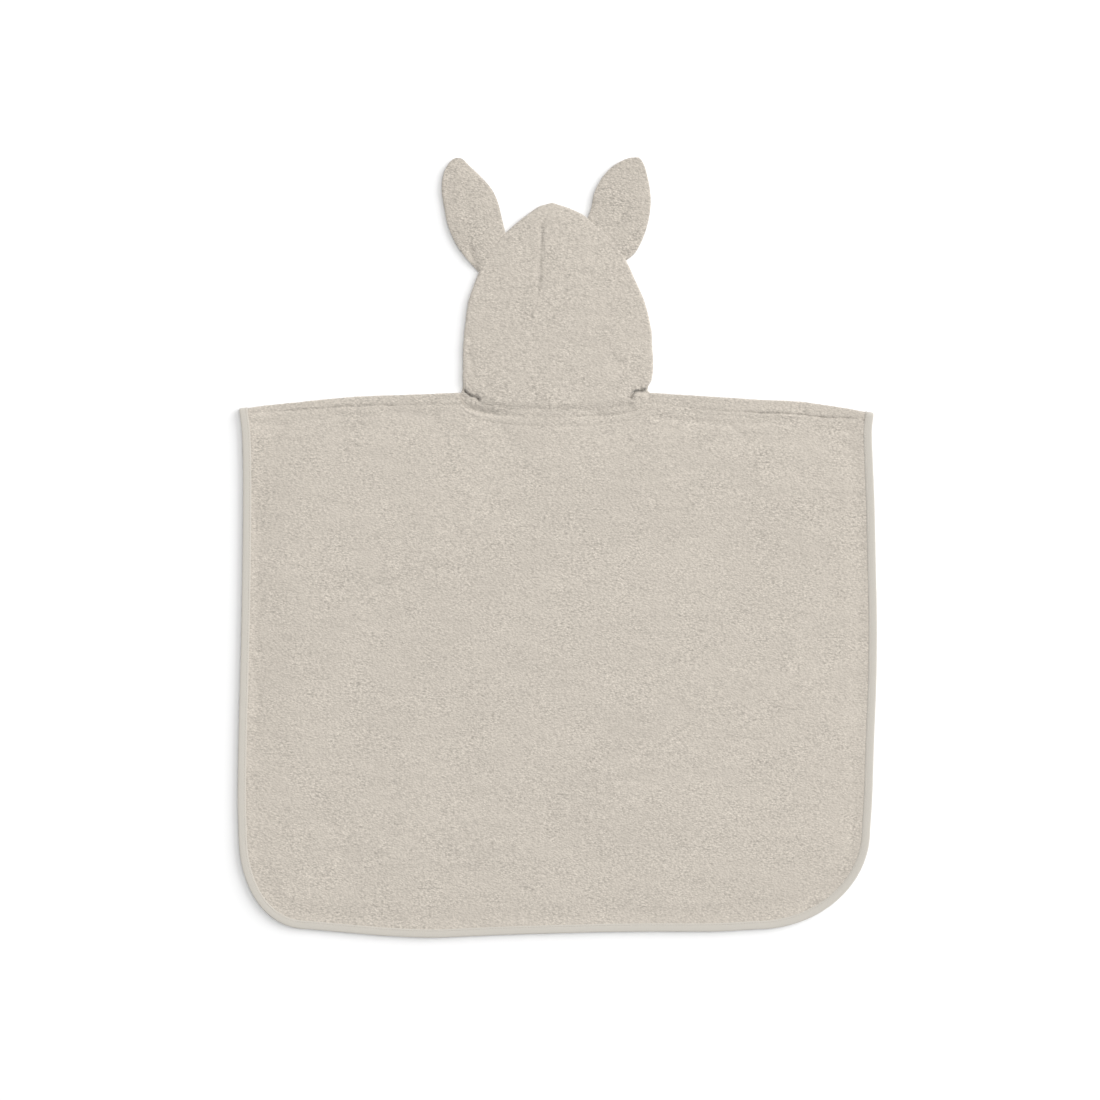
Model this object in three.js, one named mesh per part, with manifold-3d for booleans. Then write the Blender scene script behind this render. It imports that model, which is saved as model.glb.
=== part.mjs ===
// Hooded bath poncho for a toddler, lying flat on its front, so its back, hood and ears show.
// Millimetres: X to the right, Y from the hem to the hood, Z up from the surface it lies on.
// Every sheet of cloth is a closed wall with two faces and rims, 0.3 mm clear of its neighbours.

import * as THREE from "three";
import Module from "manifold-3d";

const { clamp, degToRad, lerp, smoothstep } = THREE.MathUtils;

// Cloth and seams
const CLOTH = 2.4;
const PRESSED = 1.4;
const GAP = 0.3;
const HALF_GAP = GAP / 2;
const TAPE = 1.0;
const TAPE_WIDTH = 8;
const EDGE_INSET = 2.5;

// Where each layer lies: the front on the surface, the back on the front, a bound edge round both
const TAPE_HALF = PRESSED / 2 + GAP + TAPE;
const FRONT_EDGE_Z = TAPE_HALF;
const BACK_EDGE_Z = 3 * TAPE_HALF + GAP;
const FRONT_EDGE_LOW = FRONT_EDGE_Z - PRESSED / 2;
const BACK_EDGE_LOW = BACK_EDGE_Z - PRESSED / 2;
const BACK_LOW = CLOTH + GAP;
const EDGE_FLAT = 9;
const EDGE_FADE = 36;
const FOLD_STEPS = 5;
const FOLD_EDGE_CENTRE = (FRONT_EDGE_Z + BACK_EDGE_Z) / 2;
const FOLD_EDGE_RADIUS = FOLD_EDGE_CENTRE - FRONT_EDGE_LOW;

// Body
const SHOULDER_Y = 170;
const BODY_LENGTH = 592;
const HEM_Y = SHOULDER_Y - BODY_LENGTH;
const HALF_WIDTH = 348;
const CORNER_DOWN = 481;
const FRONT_INSET = 3;
const FRONT_INSET_FADE = 60;
const BACK_PUFF = 1.2;
const PUFF_FADE = 70;

// Top fold of each shoulder: how far it drops, and how far the front wraps over to the seam
const SHOULDERS = [
  { x: -347.5, drop: 18.2, wrap: 5 },
  { x: -321, drop: 14.2, wrap: 6.5 },
  { x: -293, drop: 11.2, wrap: 8.5 },
  { x: -227, drop: 4.9, wrap: 10.5 },
  { x: -152, drop: 1.8, wrap: 11.5 },
  { x: -106, drop: 0.3, wrap: 12 },
  { x: 101, drop: 0.3, wrap: 9.5 },
  { x: 130, drop: 2, wrap: 12 },
  { x: 167, drop: 4.3, wrap: 15 },
  { x: 225, drop: 7.9, wrap: 14.2 },
  { x: 264, drop: 9.7, wrap: 14 },
  { x: 293, drop: 13.6, wrap: 13.5 },
  { x: 318, drop: 17.4, wrap: 11 },
  { x: 346, drop: 23.2, wrap: 8 },
];

// How far each side edge stands outside the half width, going down from the shoulder
const SIDES = [
  { down: 20, left: 1.8, right: -1 },
  { down: 42, left: -2, right: -3.5 },
  { down: 74, left: -2.7, right: -2.3 },
  { down: 120, left: -2.4, right: -0.2 },
  { down: 185, left: -1.8, right: 1.2 },
  { down: 250, left: -0.7, right: 2.5 },
  { down: 316, left: 0.9, right: 1.9 },
  { down: 382, left: 2.6, right: -0.6 },
  { down: 448, left: 3.5, right: -2.8 },
  { down: CORNER_DOWN, left: 2.6, right: -5 },
];

// How far the hem hangs below its nominal line
const HEM = [
  { x: -273, sag: -2.6 },
  { x: -231, sag: 1.2 },
  { x: -189, sag: 4.7 },
  { x: -142, sag: 6.7 },
  { x: -111, sag: 5.8 },
  { x: -68, sag: 3.9 },
  { x: -26, sag: 2.5 },
  { x: 16, sag: 1.4 },
  { x: 58, sag: 0.4 },
  { x: 100, sag: 0 },
  { x: 156, sag: 0 },
  { x: 184, sag: -0.5 },
  { x: 219, sag: -2.6 },
];

// Rounded lower corners, each a quarter of a superellipse of this fullness
const CORNER_FULLNESS = { left: 2.2, right: 2.0 };

// Spans of the outline: each side, each rounded corner and the hem between them
const EDGE_SPANS = { side: 10, corner: 8, hem: 12, crowding: 1.2 };

// Neck: both necklines are half superellipses across one width
const NECK = { x: -2.5, half: 104, top: 169.7, leftEnd: -106.65, rightEnd: 101.65 };
const BACK_NECK = { depth: 26.7, fullness: 4, centre: -9 };
const FRONT_NECK = { depth: 75, fullness: 2.4, centre: -8 };

// Broad soft swells and hollows of the back, each along a line, and the lump over the neck
const BACK_SWELLS = [
  { x0: -318, y0: -300, x1: -322, y1: 90, rise: -0.8, width: 22 },
  { x0: -250, y0: -330, x1: -60, y1: -300, rise: 0.9, width: 38 },
  { x0: 60, y0: -250, x1: 250, y1: -160, rise: 0.8, width: 46 },
  { x0: -230, y0: -60, x1: -90, y1: 40, rise: 0.7, width: 42 },
  { x0: 120, y0: 40, x1: 290, y1: 60, rise: 0.7, width: 34 },
  { x0: -20, y0: -200, x1: 10, y1: 20, rise: -0.7, width: 40 },
];
const NECK_LUMP = { x: -8, rise: 1.9, flat: 21, end: 66, from: 50, full: 90, fall: 175, to: 250 };

// Hood: its silhouette going up from the shoulder line, and its centre seam
const HOOD_EDGE = [
  { up: 0, left: -106.2, right: 101.2 },
  { up: 3, left: -104.8, right: 98.4 },
  { up: 7.4, left: -104.2, right: 99.8 },
  { up: 15, left: -104.3, right: 103.4 },
  { up: 28, left: -104.3, right: 105 },
  { up: 49, left: -104, right: 104 },
  { up: 68, left: -102.6, right: 102.9 },
  { up: 90, left: -99.8, right: 98.3 },
  { up: 105, left: -96.7, right: 93.5 },
  { up: 127, left: -88.6, right: 83.5 },
  { up: 142, left: -81.5, right: 76.5 },
  { up: 159, left: -71, right: 67 },
  { up: 173, left: -59.8, right: 54.5 },
  { up: 182, left: -50, right: 44 },
  { up: 189.5, left: -41.5, right: 35.2 },
  { up: 196, left: -32.5, right: 26.5 },
  { up: 201, left: -26, right: 16.5 },
  { up: 205, left: -19, right: 5.5 },
];
const HOOD_TOP = { x: -5.9, up: 208.7 };
const HOOD_SEAM = [
  { y: 143, x: -9 },
  { y: 230, x: -11 },
  { y: 290, x: -16 },
  { y: 350, x: -15.5 },
  { y: 379, x: -6 },
];
const SEAM_BOTTOM = 143;
const SEAM_TOP = 370;
const HOOD_ROWS = [
  0, 0.01, 0.02, 0.03, 0.045, 0.06, 0.08, 0.1, 0.13, 0.17, 0.22, 0.29,
  0.37, 0.45, 0.53, 0.61, 0.69, 0.76, 0.82, 0.88, 0.93, 0.97, 1,
];
const HOOD_UPPER = [0, 0.05, 0.15, 0.3, 0.46, 0.62, 0.75, 0.86, 0.92, 0.97, 1];
const HOOD_LOWER = [1, 0.94, 0.85, 0.7, 0.5, 0.3, 0.12, 0];
const NECK_PULL = 0.4;
const HOOD_LOFT = { edge: 0.8, middle: 2.5, start: 16, end: 35, least: 0.35 };
const HOOD_CREASES = [
  { x0: -104, y0: 174, x1: -86.6, y1: 163.4, rise: -2.6, width: 4 },
  { x0: -100, y0: 156, x1: -58, y1: 151, rise: -1.8, width: 5 },
  { x0: 101, y0: 175, x1: 79.5, y1: 167.5, rise: -2.4, width: 4 },
  { x0: 80, y0: 153, x1: 68, y1: 151, rise: -1.2, width: 5 },
  { x0: -15.7, y0: 357, x1: -16.2, y1: 275, rise: -1.6, width: 6 },
];

// Face opening on the underside, from the front neckline up
const FACE = { x: -8, bottom: 95, height: 238, half: 8, spread: 30, steps: 26, start: 1.5, flat: 18, fade: 44 };
const FACE_CUT = { below: 60, low: -2, high: 4.2 };

// Ears, each in its own frame: along runs from the root to the tip, across to the right
const EAR_WALL = 2.2;
const EAR_CROWN = 1.2;
const EAR_RIM = 1.0;
const EAR_RIM_WIDTH = 2.5;
const EAR_COLUMNS = [0, 0.06, 0.2, 0.4, 0.6, 0.8, 0.94, 1];
const EAR_ROWS = [0, 0.1, 0.22, 0.34, 0.46, 0.58, 0.7, 0.8, 0.88, 0.94, 0.975, 1];
const EARS = [
  {
    name: "ear_left", side: "left", x: -72.8, y: 322.6, turn: 19.5, low: 300.6, high: 344.6,
    left: [
      { along: -2, across: -25.2 }, { along: 10, across: -29.8 }, { along: 26, across: -33.6 },
      { along: 45, across: -34.7 }, { along: 65, across: -32.1 }, { along: 85, across: -27.9 },
      { along: 100, across: -20.5 }, { along: 108, across: -12.5 }, { along: 111.5, across: -6 },
    ],
    right: [
      { along: 36, across: 24.1 }, { along: 51, across: 25.4 }, { along: 67, across: 23.8 },
      { along: 85, across: 16.6 }, { along: 98, across: 10 }, { along: 106.5, across: 5.5 },
      { along: 111.8, across: -1 },
    ],
  },
  {
    name: "ear_right", side: "right", x: 55, y: 337.4, turn: -18.8, low: 314.3, high: 360.5,
    left: [
      { along: 28, across: -28.6 }, { along: 43, across: -30.6 }, { along: 57, across: -29 },
      { along: 70, across: -26.3 }, { along: 82, across: -19.9 }, { along: 90.5, across: -10.3 },
      { along: 95, across: -3 },
    ],
    right: [
      { along: -7, across: 31.2 }, { along: 2, across: 34.3 }, { along: 18, across: 36 },
      { along: 36, across: 35.1 }, { along: 54, across: 31.4 }, { along: 70, across: 24.6 },
      { along: 85.6, across: 15.2 }, { along: 93.5, across: 7.5 }, { along: 96.4, across: 2 },
    ],
  },
];

// Grid of the body panels: columns from a side to the neck, rows from the hem in millimetres, then in shares
const SHOULDER_SHARES = [0, 0.026, 0.06, 0.12, 0.2, 0.3, 0.45, 0.7, 1];
const HEM_ROWS = [0, 8, 18, 34];
const BACK_ROWS = [0.1, 0.16, 0.23, 0.3, 0.37, 0.44, 0.51, 0.58, 0.65, 0.72, 0.79, 0.85, 0.9, 0.94, 0.97, 1];
const FRONT_ROWS = [0.12, 0.24, 0.36, 0.48, 0.6, 0.7, 0.78, 0.85, 0.91, 0.96, 1];

const TERRY = new THREE.MeshStandardMaterial({ name: "terry", color: 0xcdc5ba, roughness: 1, metalness: 0 });
const EAR_TERRY = new THREE.MeshStandardMaterial({ name: "ear_terry", color: 0xc8c0b5, roughness: 1, metalness: 0 });
const BINDING = new THREE.MeshStandardMaterial({ name: "binding", color: 0xcfc8be, roughness: 0.85, metalness: 0 });

const flat = (x, y) => new THREE.Vector2(x, y);

// A smooth curve through one column of a table, as a function of its key.
function through(rows, key, column) {
  const last = rows.length - 1;
  const slopes = rows.map((_, k) => {
    const before = rows[Math.max(k - 1, 0)];
    const after = rows[Math.min(k + 1, last)];
    return (after[column] - before[column]) / (after[key] - before[key]);
  });
  return (value) => {
    let k = 0;
    while (k < last - 1 && value > rows[k + 1][key]) k += 1;
    const width = rows[k + 1][key] - rows[k][key];
    const s = clamp((value - rows[k][key]) / width, 0, 1);
    const rise = s * s * (3 - 2 * s);
    const leave = s * (1 - s) * (1 - s) * width * slopes[k];
    const arrive = s * s * (s - 1) * width * slopes[k + 1];
    return lerp(rows[k][column], rows[k + 1][column], rise) + leave + arrive;
  };
}

// Distance from a point to a line of points.
function distance(line, x, y) {
  let nearest = Infinity;
  for (let k = 1; k < line.length; k += 1) {
    const a = line[k - 1];
    const dx = line[k].x - a.x;
    const dy = line[k].y - a.y;
    const s = clamp(((x - a.x) * dx + (y - a.y) * dy) / (dx * dx + dy * dy || 1), 0, 1);
    nearest = Math.min(nearest, Math.hypot(x - a.x - s * dx, y - a.y - s * dy));
  }
  return nearest;
}

// Sum of soft ridges and troughs, each along a line of its table.
function relief(table, x, y) {
  return table.reduce((sum, row) => {
    const away = distance([flat(row.x0, row.y0), flat(row.x1, row.y1)], x, y);
    return sum + row.rise * Math.exp(-((away / row.width) ** 2));
  }, 0);
}

// Points of a line moved to its left.
function moved(line, amount) {
  return line.map((point, k) => {
    const before = line[Math.max(k - 1, 0)];
    const after = line[Math.min(k + 1, line.length - 1)];
    const along = after.clone().sub(before).normalize();
    return flat(point.x - along.y * amount, point.y + along.x * amount);
  });
}

// A closed wall between two grids of points, with rims wherever a neighbouring cell is missing.
function wall(columns, rows, outer, inner, has = () => true) {
  const positions = [];
  const index = [];
  const places = new Map();
  const corner = (side, i, j) => {
    const key = `${side} ${i} ${j}`;
    if (!places.has(key)) {
      places.set(key, positions.length / 3);
      positions.push(...(side ? inner : outer)(i, j).toArray());
    }
    return places.get(key);
  };
  const quad = (a, b, c, d) => index.push(a, b, c, a, c, d);
  const present = (i, j) => i >= 0 && i < columns && j >= 0 && j < rows && has(i, j);
  for (let i = 0; i < columns; i += 1) {
    for (let j = 0; j < rows; j += 1) {
      if (!present(i, j)) continue;
      const [a, b, c, d] = [corner(0, i, j), corner(0, i + 1, j), corner(0, i + 1, j + 1), corner(0, i, j + 1)];
      const [e, f, g, h] = [corner(1, i, j), corner(1, i + 1, j), corner(1, i + 1, j + 1), corner(1, i, j + 1)];
      quad(a, b, c, d);
      quad(h, g, f, e);
      if (!present(i, j - 1)) quad(b, a, e, f);
      if (!present(i + 1, j)) quad(c, b, f, g);
      if (!present(i, j + 1)) quad(d, c, g, h);
      if (!present(i - 1, j)) quad(a, d, h, e);
    }
  }
  return facingOut(positions, index);
}

// A closed band: a profile of points carried round a list of stations, closed on itself or capped.
function sweep(stations, profile, closed) {
  const positions = [];
  const index = [];
  const count = profile.length;
  for (const { place, inward, up } of stations) {
    for (const { depth, height } of profile) {
      positions.push(...place.clone().addScaledVector(inward, depth).addScaledVector(up, height).toArray());
    }
  }
  const spans = closed ? stations.length : stations.length - 1;
  for (let s = 0; s < spans; s += 1) {
    const here = s * count;
    const next = ((s + 1) % stations.length) * count;
    for (let p = 0; p < count; p += 1) {
      const q = (p + 1) % count;
      index.push(here + p, here + q, next + q, here + p, next + q, next + p);
    }
  }
  if (!closed) {
    const end = (stations.length - 1) * count;
    const { area, triangulateShape } = THREE.ShapeUtils;
    const contour = profile.map(({ depth, height }) => flat(depth, height));
    for (const face of triangulateShape(contour, [])) {
      const sameWay = area(contour) * area(face.map((p) => contour[p])) > 0;
      const [a, b, c] = sameWay ? face : face.reverse();
      index.push(c, b, a);
      index.push(end + a, end + b, end + c);
    }
  }
  return facingOut(positions, index);
}

// An indexed geometry, turned so that its faces point out.
function facingOut(positions, index) {
  const [a, b, c] = [new THREE.Vector3(), new THREE.Vector3(), new THREE.Vector3()];
  let volume = 0;
  for (let k = 0; k < index.length; k += 3) {
    a.fromArray(positions, index[k] * 3);
    b.fromArray(positions, index[k + 1] * 3);
    c.fromArray(positions, index[k + 2] * 3);
    volume += a.dot(b.cross(c));
  }
  if (volume < 0) index.reverse();
  const geometry = new THREE.BufferGeometry();
  geometry.setAttribute("position", new THREE.Float32BufferAttribute(positions, 3));
  geometry.setIndex(index);
  return geometry;
}

// Share of the bound edge's height at this distance inside it.
const lift = (inside) => 1 - smoothstep(inside, EDGE_FLAT, EDGE_FADE);

// Body outline
const drop = through(SHOULDERS, "x", "drop");
const wrap = through(SHOULDERS, "x", "wrap");
const sag = through(HEM, "x", "sag");
const stand = { left: through(SIDES, "down", "left"), right: through(SIDES, "down", "right") };
const boundEnds = [SHOULDERS[0].x + TAPE_WIDTH, SHOULDERS[SHOULDERS.length - 1].x - TAPE_WIDTH];
const foldY = (x) => SHOULDER_Y - drop(clamp(x, ...boundEnds));
const seamY = (x) => foldY(x) - wrap(x);
const hemY = (x) => HEM_Y - sag(x);

// Inset of the front's edge behind the back's, which is none at the shoulder.
const shrink = (inset, y) => inset * smoothstep(SHOULDER_Y - y, 20, 20 + FRONT_INSET_FADE);

// Side edge of a panel at a height, moved in from the outline.
function sideX(side, y, inset, front) {
  const out = HALF_WIDTH + stand[side](SHOULDER_Y - y) - inset - shrink(front, y);
  return side === "left" ? -out : out;
}

// Lower outline from one side, round its corner, along the hem and round the other corner.
function lowerLine(front) {
  const top = SHOULDER_Y - CORNER_DOWN;
  const quarter = (side) => {
    const fullness = CORNER_FULLNESS[side];
    const edge = sideX(side, top, 0, front);
    const middle = side === "left" ? HEM[0].x : HEM[HEM.length - 1].x;
    const bottom = hemY(middle) + front;
    const points = [];
    for (let k = 0; k <= EDGE_SPANS.corner; k += 1) {
      const angle = (k / EDGE_SPANS.corner) * (Math.PI / 2);
      const out = Math.cos(angle) ** (2 / fullness);
      const down = Math.sin(angle) ** (2 / fullness);
      points.push(flat(lerp(middle, edge, out), lerp(top, bottom, down)));
    }
    return points;
  };
  const hem = [];
  const [first, last] = [HEM[0].x, HEM[HEM.length - 1].x];
  for (let k = 1; k < EDGE_SPANS.hem; k += 1) {
    const x = lerp(first, last, k / EDGE_SPANS.hem);
    hem.push(flat(x, hemY(x) + front));
  }
  return [...quarter("left"), ...hem, ...quarter("right").reverse()];
}

// Whole bound edge of a panel, from the left shoulder down, along the hem and up to the right one.
function boundEdge(front) {
  const side = (name, from) => {
    const points = [];
    const to = SHOULDER_Y - CORNER_DOWN;
    for (let k = 0; k < EDGE_SPANS.side; k += 1) {
      const y = lerp(from, to, (k / EDGE_SPANS.side) ** EDGE_SPANS.crowding);
      points.push(flat(sideX(name, y, 0, front), y));
    }
    return points;
  };
  const left = side("left", foldY(SHOULDERS[0].x) - FOLD_EDGE_RADIUS);
  const right = side("right", foldY(SHOULDERS[SHOULDERS.length - 1].x) - FOLD_EDGE_RADIUS);
  return [...left, ...lowerLine(front), ...right.reverse()];
}

const BACK_EDGE = boundEdge(0);
const FRONT_EDGE = boundEdge(FRONT_INSET);

// Neckline point of one side: share 0 is the centre, 1 the corner; out moves it from the nominal line.
function neckPoint(neck, side, share, out) {
  const sign = side === "left" ? -1 : 1;
  const start = (sign * (neck.centre - NECK.x)) / NECK.half;
  const across = start + (1 - start) * Math.sin((share * Math.PI) / 2);
  const down = (1 - Math.abs(across) ** neck.fullness) ** (1 / neck.fullness);
  return flat(NECK.x + sign * (NECK.half + out) * across, NECK.top - (neck.depth + out) * down);
}

// Columns of a body panel: where each meets the top line and the hem, and its share of the width.
function panelColumns(topOf, neck, neckShares, inset, front) {
  const lower = moved(lowerLine(front), inset);
  const [from, to] = [lower[0].x, lower[lower.length - 1].x];
  const hemPoint = (share) => {
    if (share === 0) return lower[0];
    if (share === 1) return lower[lower.length - 1];
    const x = lerp(from, to, share);
    const k = lower.findIndex((point) => point.x > x);
    const s = (x - lower[k - 1].x) / (lower[k].x - lower[k - 1].x);
    return flat(x, lerp(lower[k - 1].y, lower[k].y, s));
  };
  const shoulder = (side, end) => SHOULDER_SHARES.map((k) => {
    const tip = side === "left" ? SHOULDERS[0] : SHOULDERS[SHOULDERS.length - 1];
    const outerEnd = sideX(side, topOf(tip.x), inset, front);
    const x = lerp(outerEnd, end.x, k);
    const y = k === 1 ? end.y : topOf(x);
    return { top: flat(x, y), share: lerp(side === "left" ? 0 : 1, (end.x - from) / (to - from), k) };
  });
  const left = shoulder("left", neck.leftEnd);
  const right = shoulder("right", neck.rightEnd).reverse();
  const middle = [
    ...neckShares.map((share) => neckPoint(neck.line, "left", share, HALF_GAP)),
    ...neckShares.slice(0, -1).reverse().map((share) => neckPoint(neck.line, "right", share, HALF_GAP)),
  ];
  const [start, end] = [left[left.length - 1].share, right[0].share];
  const neckColumns = middle.map((top, k) => ({ top, share: lerp(start, end, (k + 1) / (middle.length + 1)) }));
  const columns = [...left, ...neckColumns, ...right];
  for (const column of columns) column.bottom = hemPoint(column.share);
  return columns;
}

// Point of a body panel on one column: height 0 is the hem, 1 the top line.
function panelPoint(columns, column, height, inset, front) {
  const point = column.bottom.clone().lerp(column.top, height);
  const bend = (side, edge) => {
    const straight = edge.bottom.clone().lerp(edge.top, height);
    return sideX(side, straight.y, inset, front) - straight.x;
  };
  point.x += (1 - column.share) * bend("left", columns[0]);
  point.x += column.share * bend("right", columns[columns.length - 1]);
  return point;
}

// Rows of a panel: some millimetres from the hem, then shares of its length.
const panelRows = (shares) => [...HEM_ROWS.map((row) => row / BODY_LENGTH), ...shares];

// Height of the lump where the bound edges of the face opening lie under the neck.
function neckLump(x, y) {
  const across = 1 - smoothstep(Math.abs(x - NECK_LUMP.x), NECK_LUMP.flat, NECK_LUMP.end);
  const above = 1 - smoothstep(y, NECK_LUMP.fall, NECK_LUMP.to);
  return NECK_LUMP.rise * across * above * smoothstep(y, NECK_LUMP.from, NECK_LUMP.full);
}

// Lower face of the back panel.
function backLow(x, y, fromTop) {
  const inside = distance(BACK_EDGE, x, y);
  const fade = smoothstep(inside, EDGE_FLAT, PUFF_FADE) * smoothstep(fromTop, 0, PUFF_FADE);
  const soft = Math.max(0, BACK_PUFF + relief(BACK_SWELLS, x, y)) * fade;
  return lerp(BACK_LOW + Math.max(soft, neckLump(x, y)), BACK_EDGE_LOW, lift(inside));
}

function backPanel() {
  const top = (x) => seamY(x) - HALF_GAP;
  const corner = (side) => {
    const sign = side === "left" ? -1 : 1;
    const y = top(side === "left" ? NECK.leftEnd : NECK.rightEnd);
    const down = (NECK.top - y) / (BACK_NECK.depth + HALF_GAP);
    const across = (1 - down ** BACK_NECK.fullness) ** (1 / BACK_NECK.fullness);
    return flat(NECK.x + sign * (NECK.half + HALF_GAP) * across, y);
  };
  const neck = { line: BACK_NECK, leftEnd: corner("left"), rightEnd: corner("right") };
  const shares = HOOD_UPPER.filter((share) => share < 0.9).reverse();
  const columns = panelColumns(top, neck, shares, EDGE_INSET, 0);
  const rows = panelRows(BACK_ROWS);
  const at = (raise) => (i, j) => {
    const point = panelPoint(columns, columns[i], rows[j], EDGE_INSET, 0);
    const low = backLow(point.x, point.y, columns[i].top.y - point.y);
    const thick = lerp(CLOTH, PRESSED, lift(distance(BACK_EDGE, point.x, point.y)));
    return new THREE.Vector3(point.x, point.y, low + raise * thick);
  };
  return wall(columns.length - 1, rows.length - 1, at(1), at(0));
}

function frontPanel() {
  const insideOf = (x, y) => distance(FRONT_EDGE, x, y);
  const low = (x, y) => FRONT_EDGE_LOW * lift(insideOf(x, y));
  const thick = (x, y) => lerp(CLOTH, PRESSED, lift(insideOf(x, y)));
  const radius = (x) => {
    const share = lift(Math.min(x - BACK_EDGE[0].x, BACK_EDGE[BACK_EDGE.length - 1].x - x));
    return lerp(CLOTH + HALF_GAP, FOLD_EDGE_RADIUS, share);
  };
  const foldStart = (x) => foldY(x) - radius(x);
  const end = (x) => flat(x, foldStart(x));
  const neck = { line: FRONT_NECK, leftEnd: end(NECK.leftEnd), rightEnd: end(NECK.rightEnd) };
  const shares = HOOD_LOWER.filter((share) => share < 1);
  const columns = panelColumns(foldStart, neck, shares, EDGE_INSET, FRONT_INSET);
  const rows = panelRows(FRONT_ROWS);
  const sheetRows = rows.length - 1;
  const strapRows = 2;
  const at = (raise) => (i, j) => {
    const column = columns[i];
    if (j <= sheetRows) {
      const point = panelPoint(columns, column, rows[j], EDGE_INSET, FRONT_INSET);
      return new THREE.Vector3(point.x, point.y, low(point.x, point.y) + raise * thick(point.x, point.y));
    }
    const { x, y } = column.top;
    const outer = radius(x);
    const centre = low(x, y) + outer;
    const reach = outer - raise * thick(x, y);
    const turn = Math.min((j - sheetRows) / FOLD_STEPS, 1) * Math.PI - Math.PI / 2;
    const back = Math.max(0, j - sheetRows - FOLD_STEPS) / strapRows;
    const strap = lerp(0, y - seamY(x) - HALF_GAP, back);
    return new THREE.Vector3(x, y - strap + reach * Math.cos(turn), centre + reach * Math.sin(turn));
  };
  const shoulderCells = SHOULDER_SHARES.length - 1;
  const cells = columns.length - 1;
  const has = (i, j) => j < sheetRows || i < shoulderCells || i >= cells - shoulderCells;
  return wall(cells, sheetRows + FOLD_STEPS + strapRows, at(0), at(1), has);
}

// Folded tape: depth runs in from the edge, height out from the middle of the cloth it grips.
const TAPE_PROFILE = [
  { depth: TAPE_WIDTH, height: TAPE_HALF },
  { depth: 1.8, height: TAPE_HALF },
  { depth: 0.35, height: 1.2 },
  { depth: 0, height: 0 },
  { depth: 0.35, height: -1.2 },
  { depth: 1.8, height: -TAPE_HALF },
  { depth: TAPE_WIDTH, height: -TAPE_HALF },
  { depth: TAPE_WIDTH, height: -TAPE_HALF + TAPE },
  { depth: 2, height: -TAPE_HALF + TAPE },
  { depth: TAPE, height: 0 },
  { depth: 2, height: TAPE_HALF - TAPE },
  { depth: TAPE_WIDTH, height: TAPE_HALF - TAPE },
];

// Stations along a line of points, gripping the cloth to its left.
function stationsAlong(line, z, upSign) {
  return line.map((point, k) => {
    const before = line[Math.max(k - 1, 0)];
    const after = line[Math.min(k + 1, line.length - 1)];
    const along = after.clone().sub(before).normalize();
    const end = k === 0 || k === line.length - 1;
    const inward = end ? new THREE.Vector3(-Math.sign(along.y), 0, 0) : new THREE.Vector3(-along.y, along.x, 0);
    return { place: new THREE.Vector3(point.x, point.y, z), inward, up: new THREE.Vector3(0, 0, upSign) };
  });
}

// Stations over a shoulder fold, from the back's end of the edge to the front's.
function stationsOver(point, inwardX) {
  const radius = FOLD_EDGE_CENTRE - FRONT_EDGE_Z;
  const stations = [];
  for (let k = 1; k < FOLD_STEPS; k += 1) {
    const turn = Math.PI / 2 - (k / FOLD_STEPS) * Math.PI;
    const up = new THREE.Vector3(0, Math.cos(turn), Math.sin(turn));
    const place = new THREE.Vector3(point.x, point.y, FOLD_EDGE_CENTRE).addScaledVector(up, radius);
    stations.push({ place, inward: new THREE.Vector3(inwardX, 0, 0), up });
  }
  return stations;
}

function edgeBinding() {
  const back = stationsAlong(BACK_EDGE, BACK_EDGE_Z, 1);
  const front = stationsAlong(FRONT_EDGE, FRONT_EDGE_Z, -1).reverse();
  const right = stationsOver(BACK_EDGE[BACK_EDGE.length - 1], -1);
  const left = stationsOver(BACK_EDGE[0], 1).reverse();
  return sweep([...back, ...right, ...front, ...left], TAPE_PROFILE, true);
}

// Outline of the face opening, from the left end of the neck over the top to the right end.
function faceLine(start) {
  const points = [];
  const from = Math.asin(start / FACE.height);
  for (let k = 0; k <= FACE.steps; k += 1) {
    const angle = lerp(from, Math.PI - from, k / FACE.steps);
    const up = Math.sin(angle);
    const half = (FACE.half + FACE.spread * up) * Math.cos(angle) * Math.sqrt(1 + up * up);
    points.push(flat(FACE.x - half, FACE.bottom + FACE.height * up));
  }
  return points;
}

function hoodBinding() {
  return sweep(stationsAlong(faceLine(FACE.start), FRONT_EDGE_Z, 1), TAPE_PROFILE, false);
}

// Silhouette of one half of the hood, from the shoulder line to the top.
function hoodEdge(side) {
  const sign = side === "left" ? -1 : 1;
  const points = HOOD_EDGE.map((row) => flat(row[side], SHOULDER_Y + row.up));
  points.push(flat(HOOD_TOP.x + sign * HALF_GAP, SHOULDER_Y + HOOD_TOP.up));
  const curve = new THREE.SplineCurve(points);
  curve.arcLengthDivisions = 600;
  return curve;
}

const seamX = through(HOOD_SEAM, "y", "x");
const lowerSeamX = (y) => lerp(FACE.x, HOOD_TOP.x, smoothstep(y, FACE.bottom + FACE.height, SEAM_TOP));

// Lower face of the hood's upper layer: share 0 is the centre seam, 1 the side fold.
function hoodLow(x, y, share, fromNeck, fromTop) {
  const rise = smoothstep(fromNeck, 0, HOOD_LOFT.start);
  const fall = lerp(HOOD_LOFT.least, 1, smoothstep(fromTop, 0, HOOD_LOFT.end));
  const loft = (HOOD_LOFT.edge + HOOD_LOFT.middle * (1 - share * share)) * rise * fall;
  const edge = HOOD_LOFT.edge * rise * fall;
  const creased = Math.max(loft + relief(HOOD_CREASES, x, y) * (1 - share ** 8), Math.min(edge, loft));
  return BACK_LOW + Math.max(creased, neckLump(x, y));
}

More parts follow.
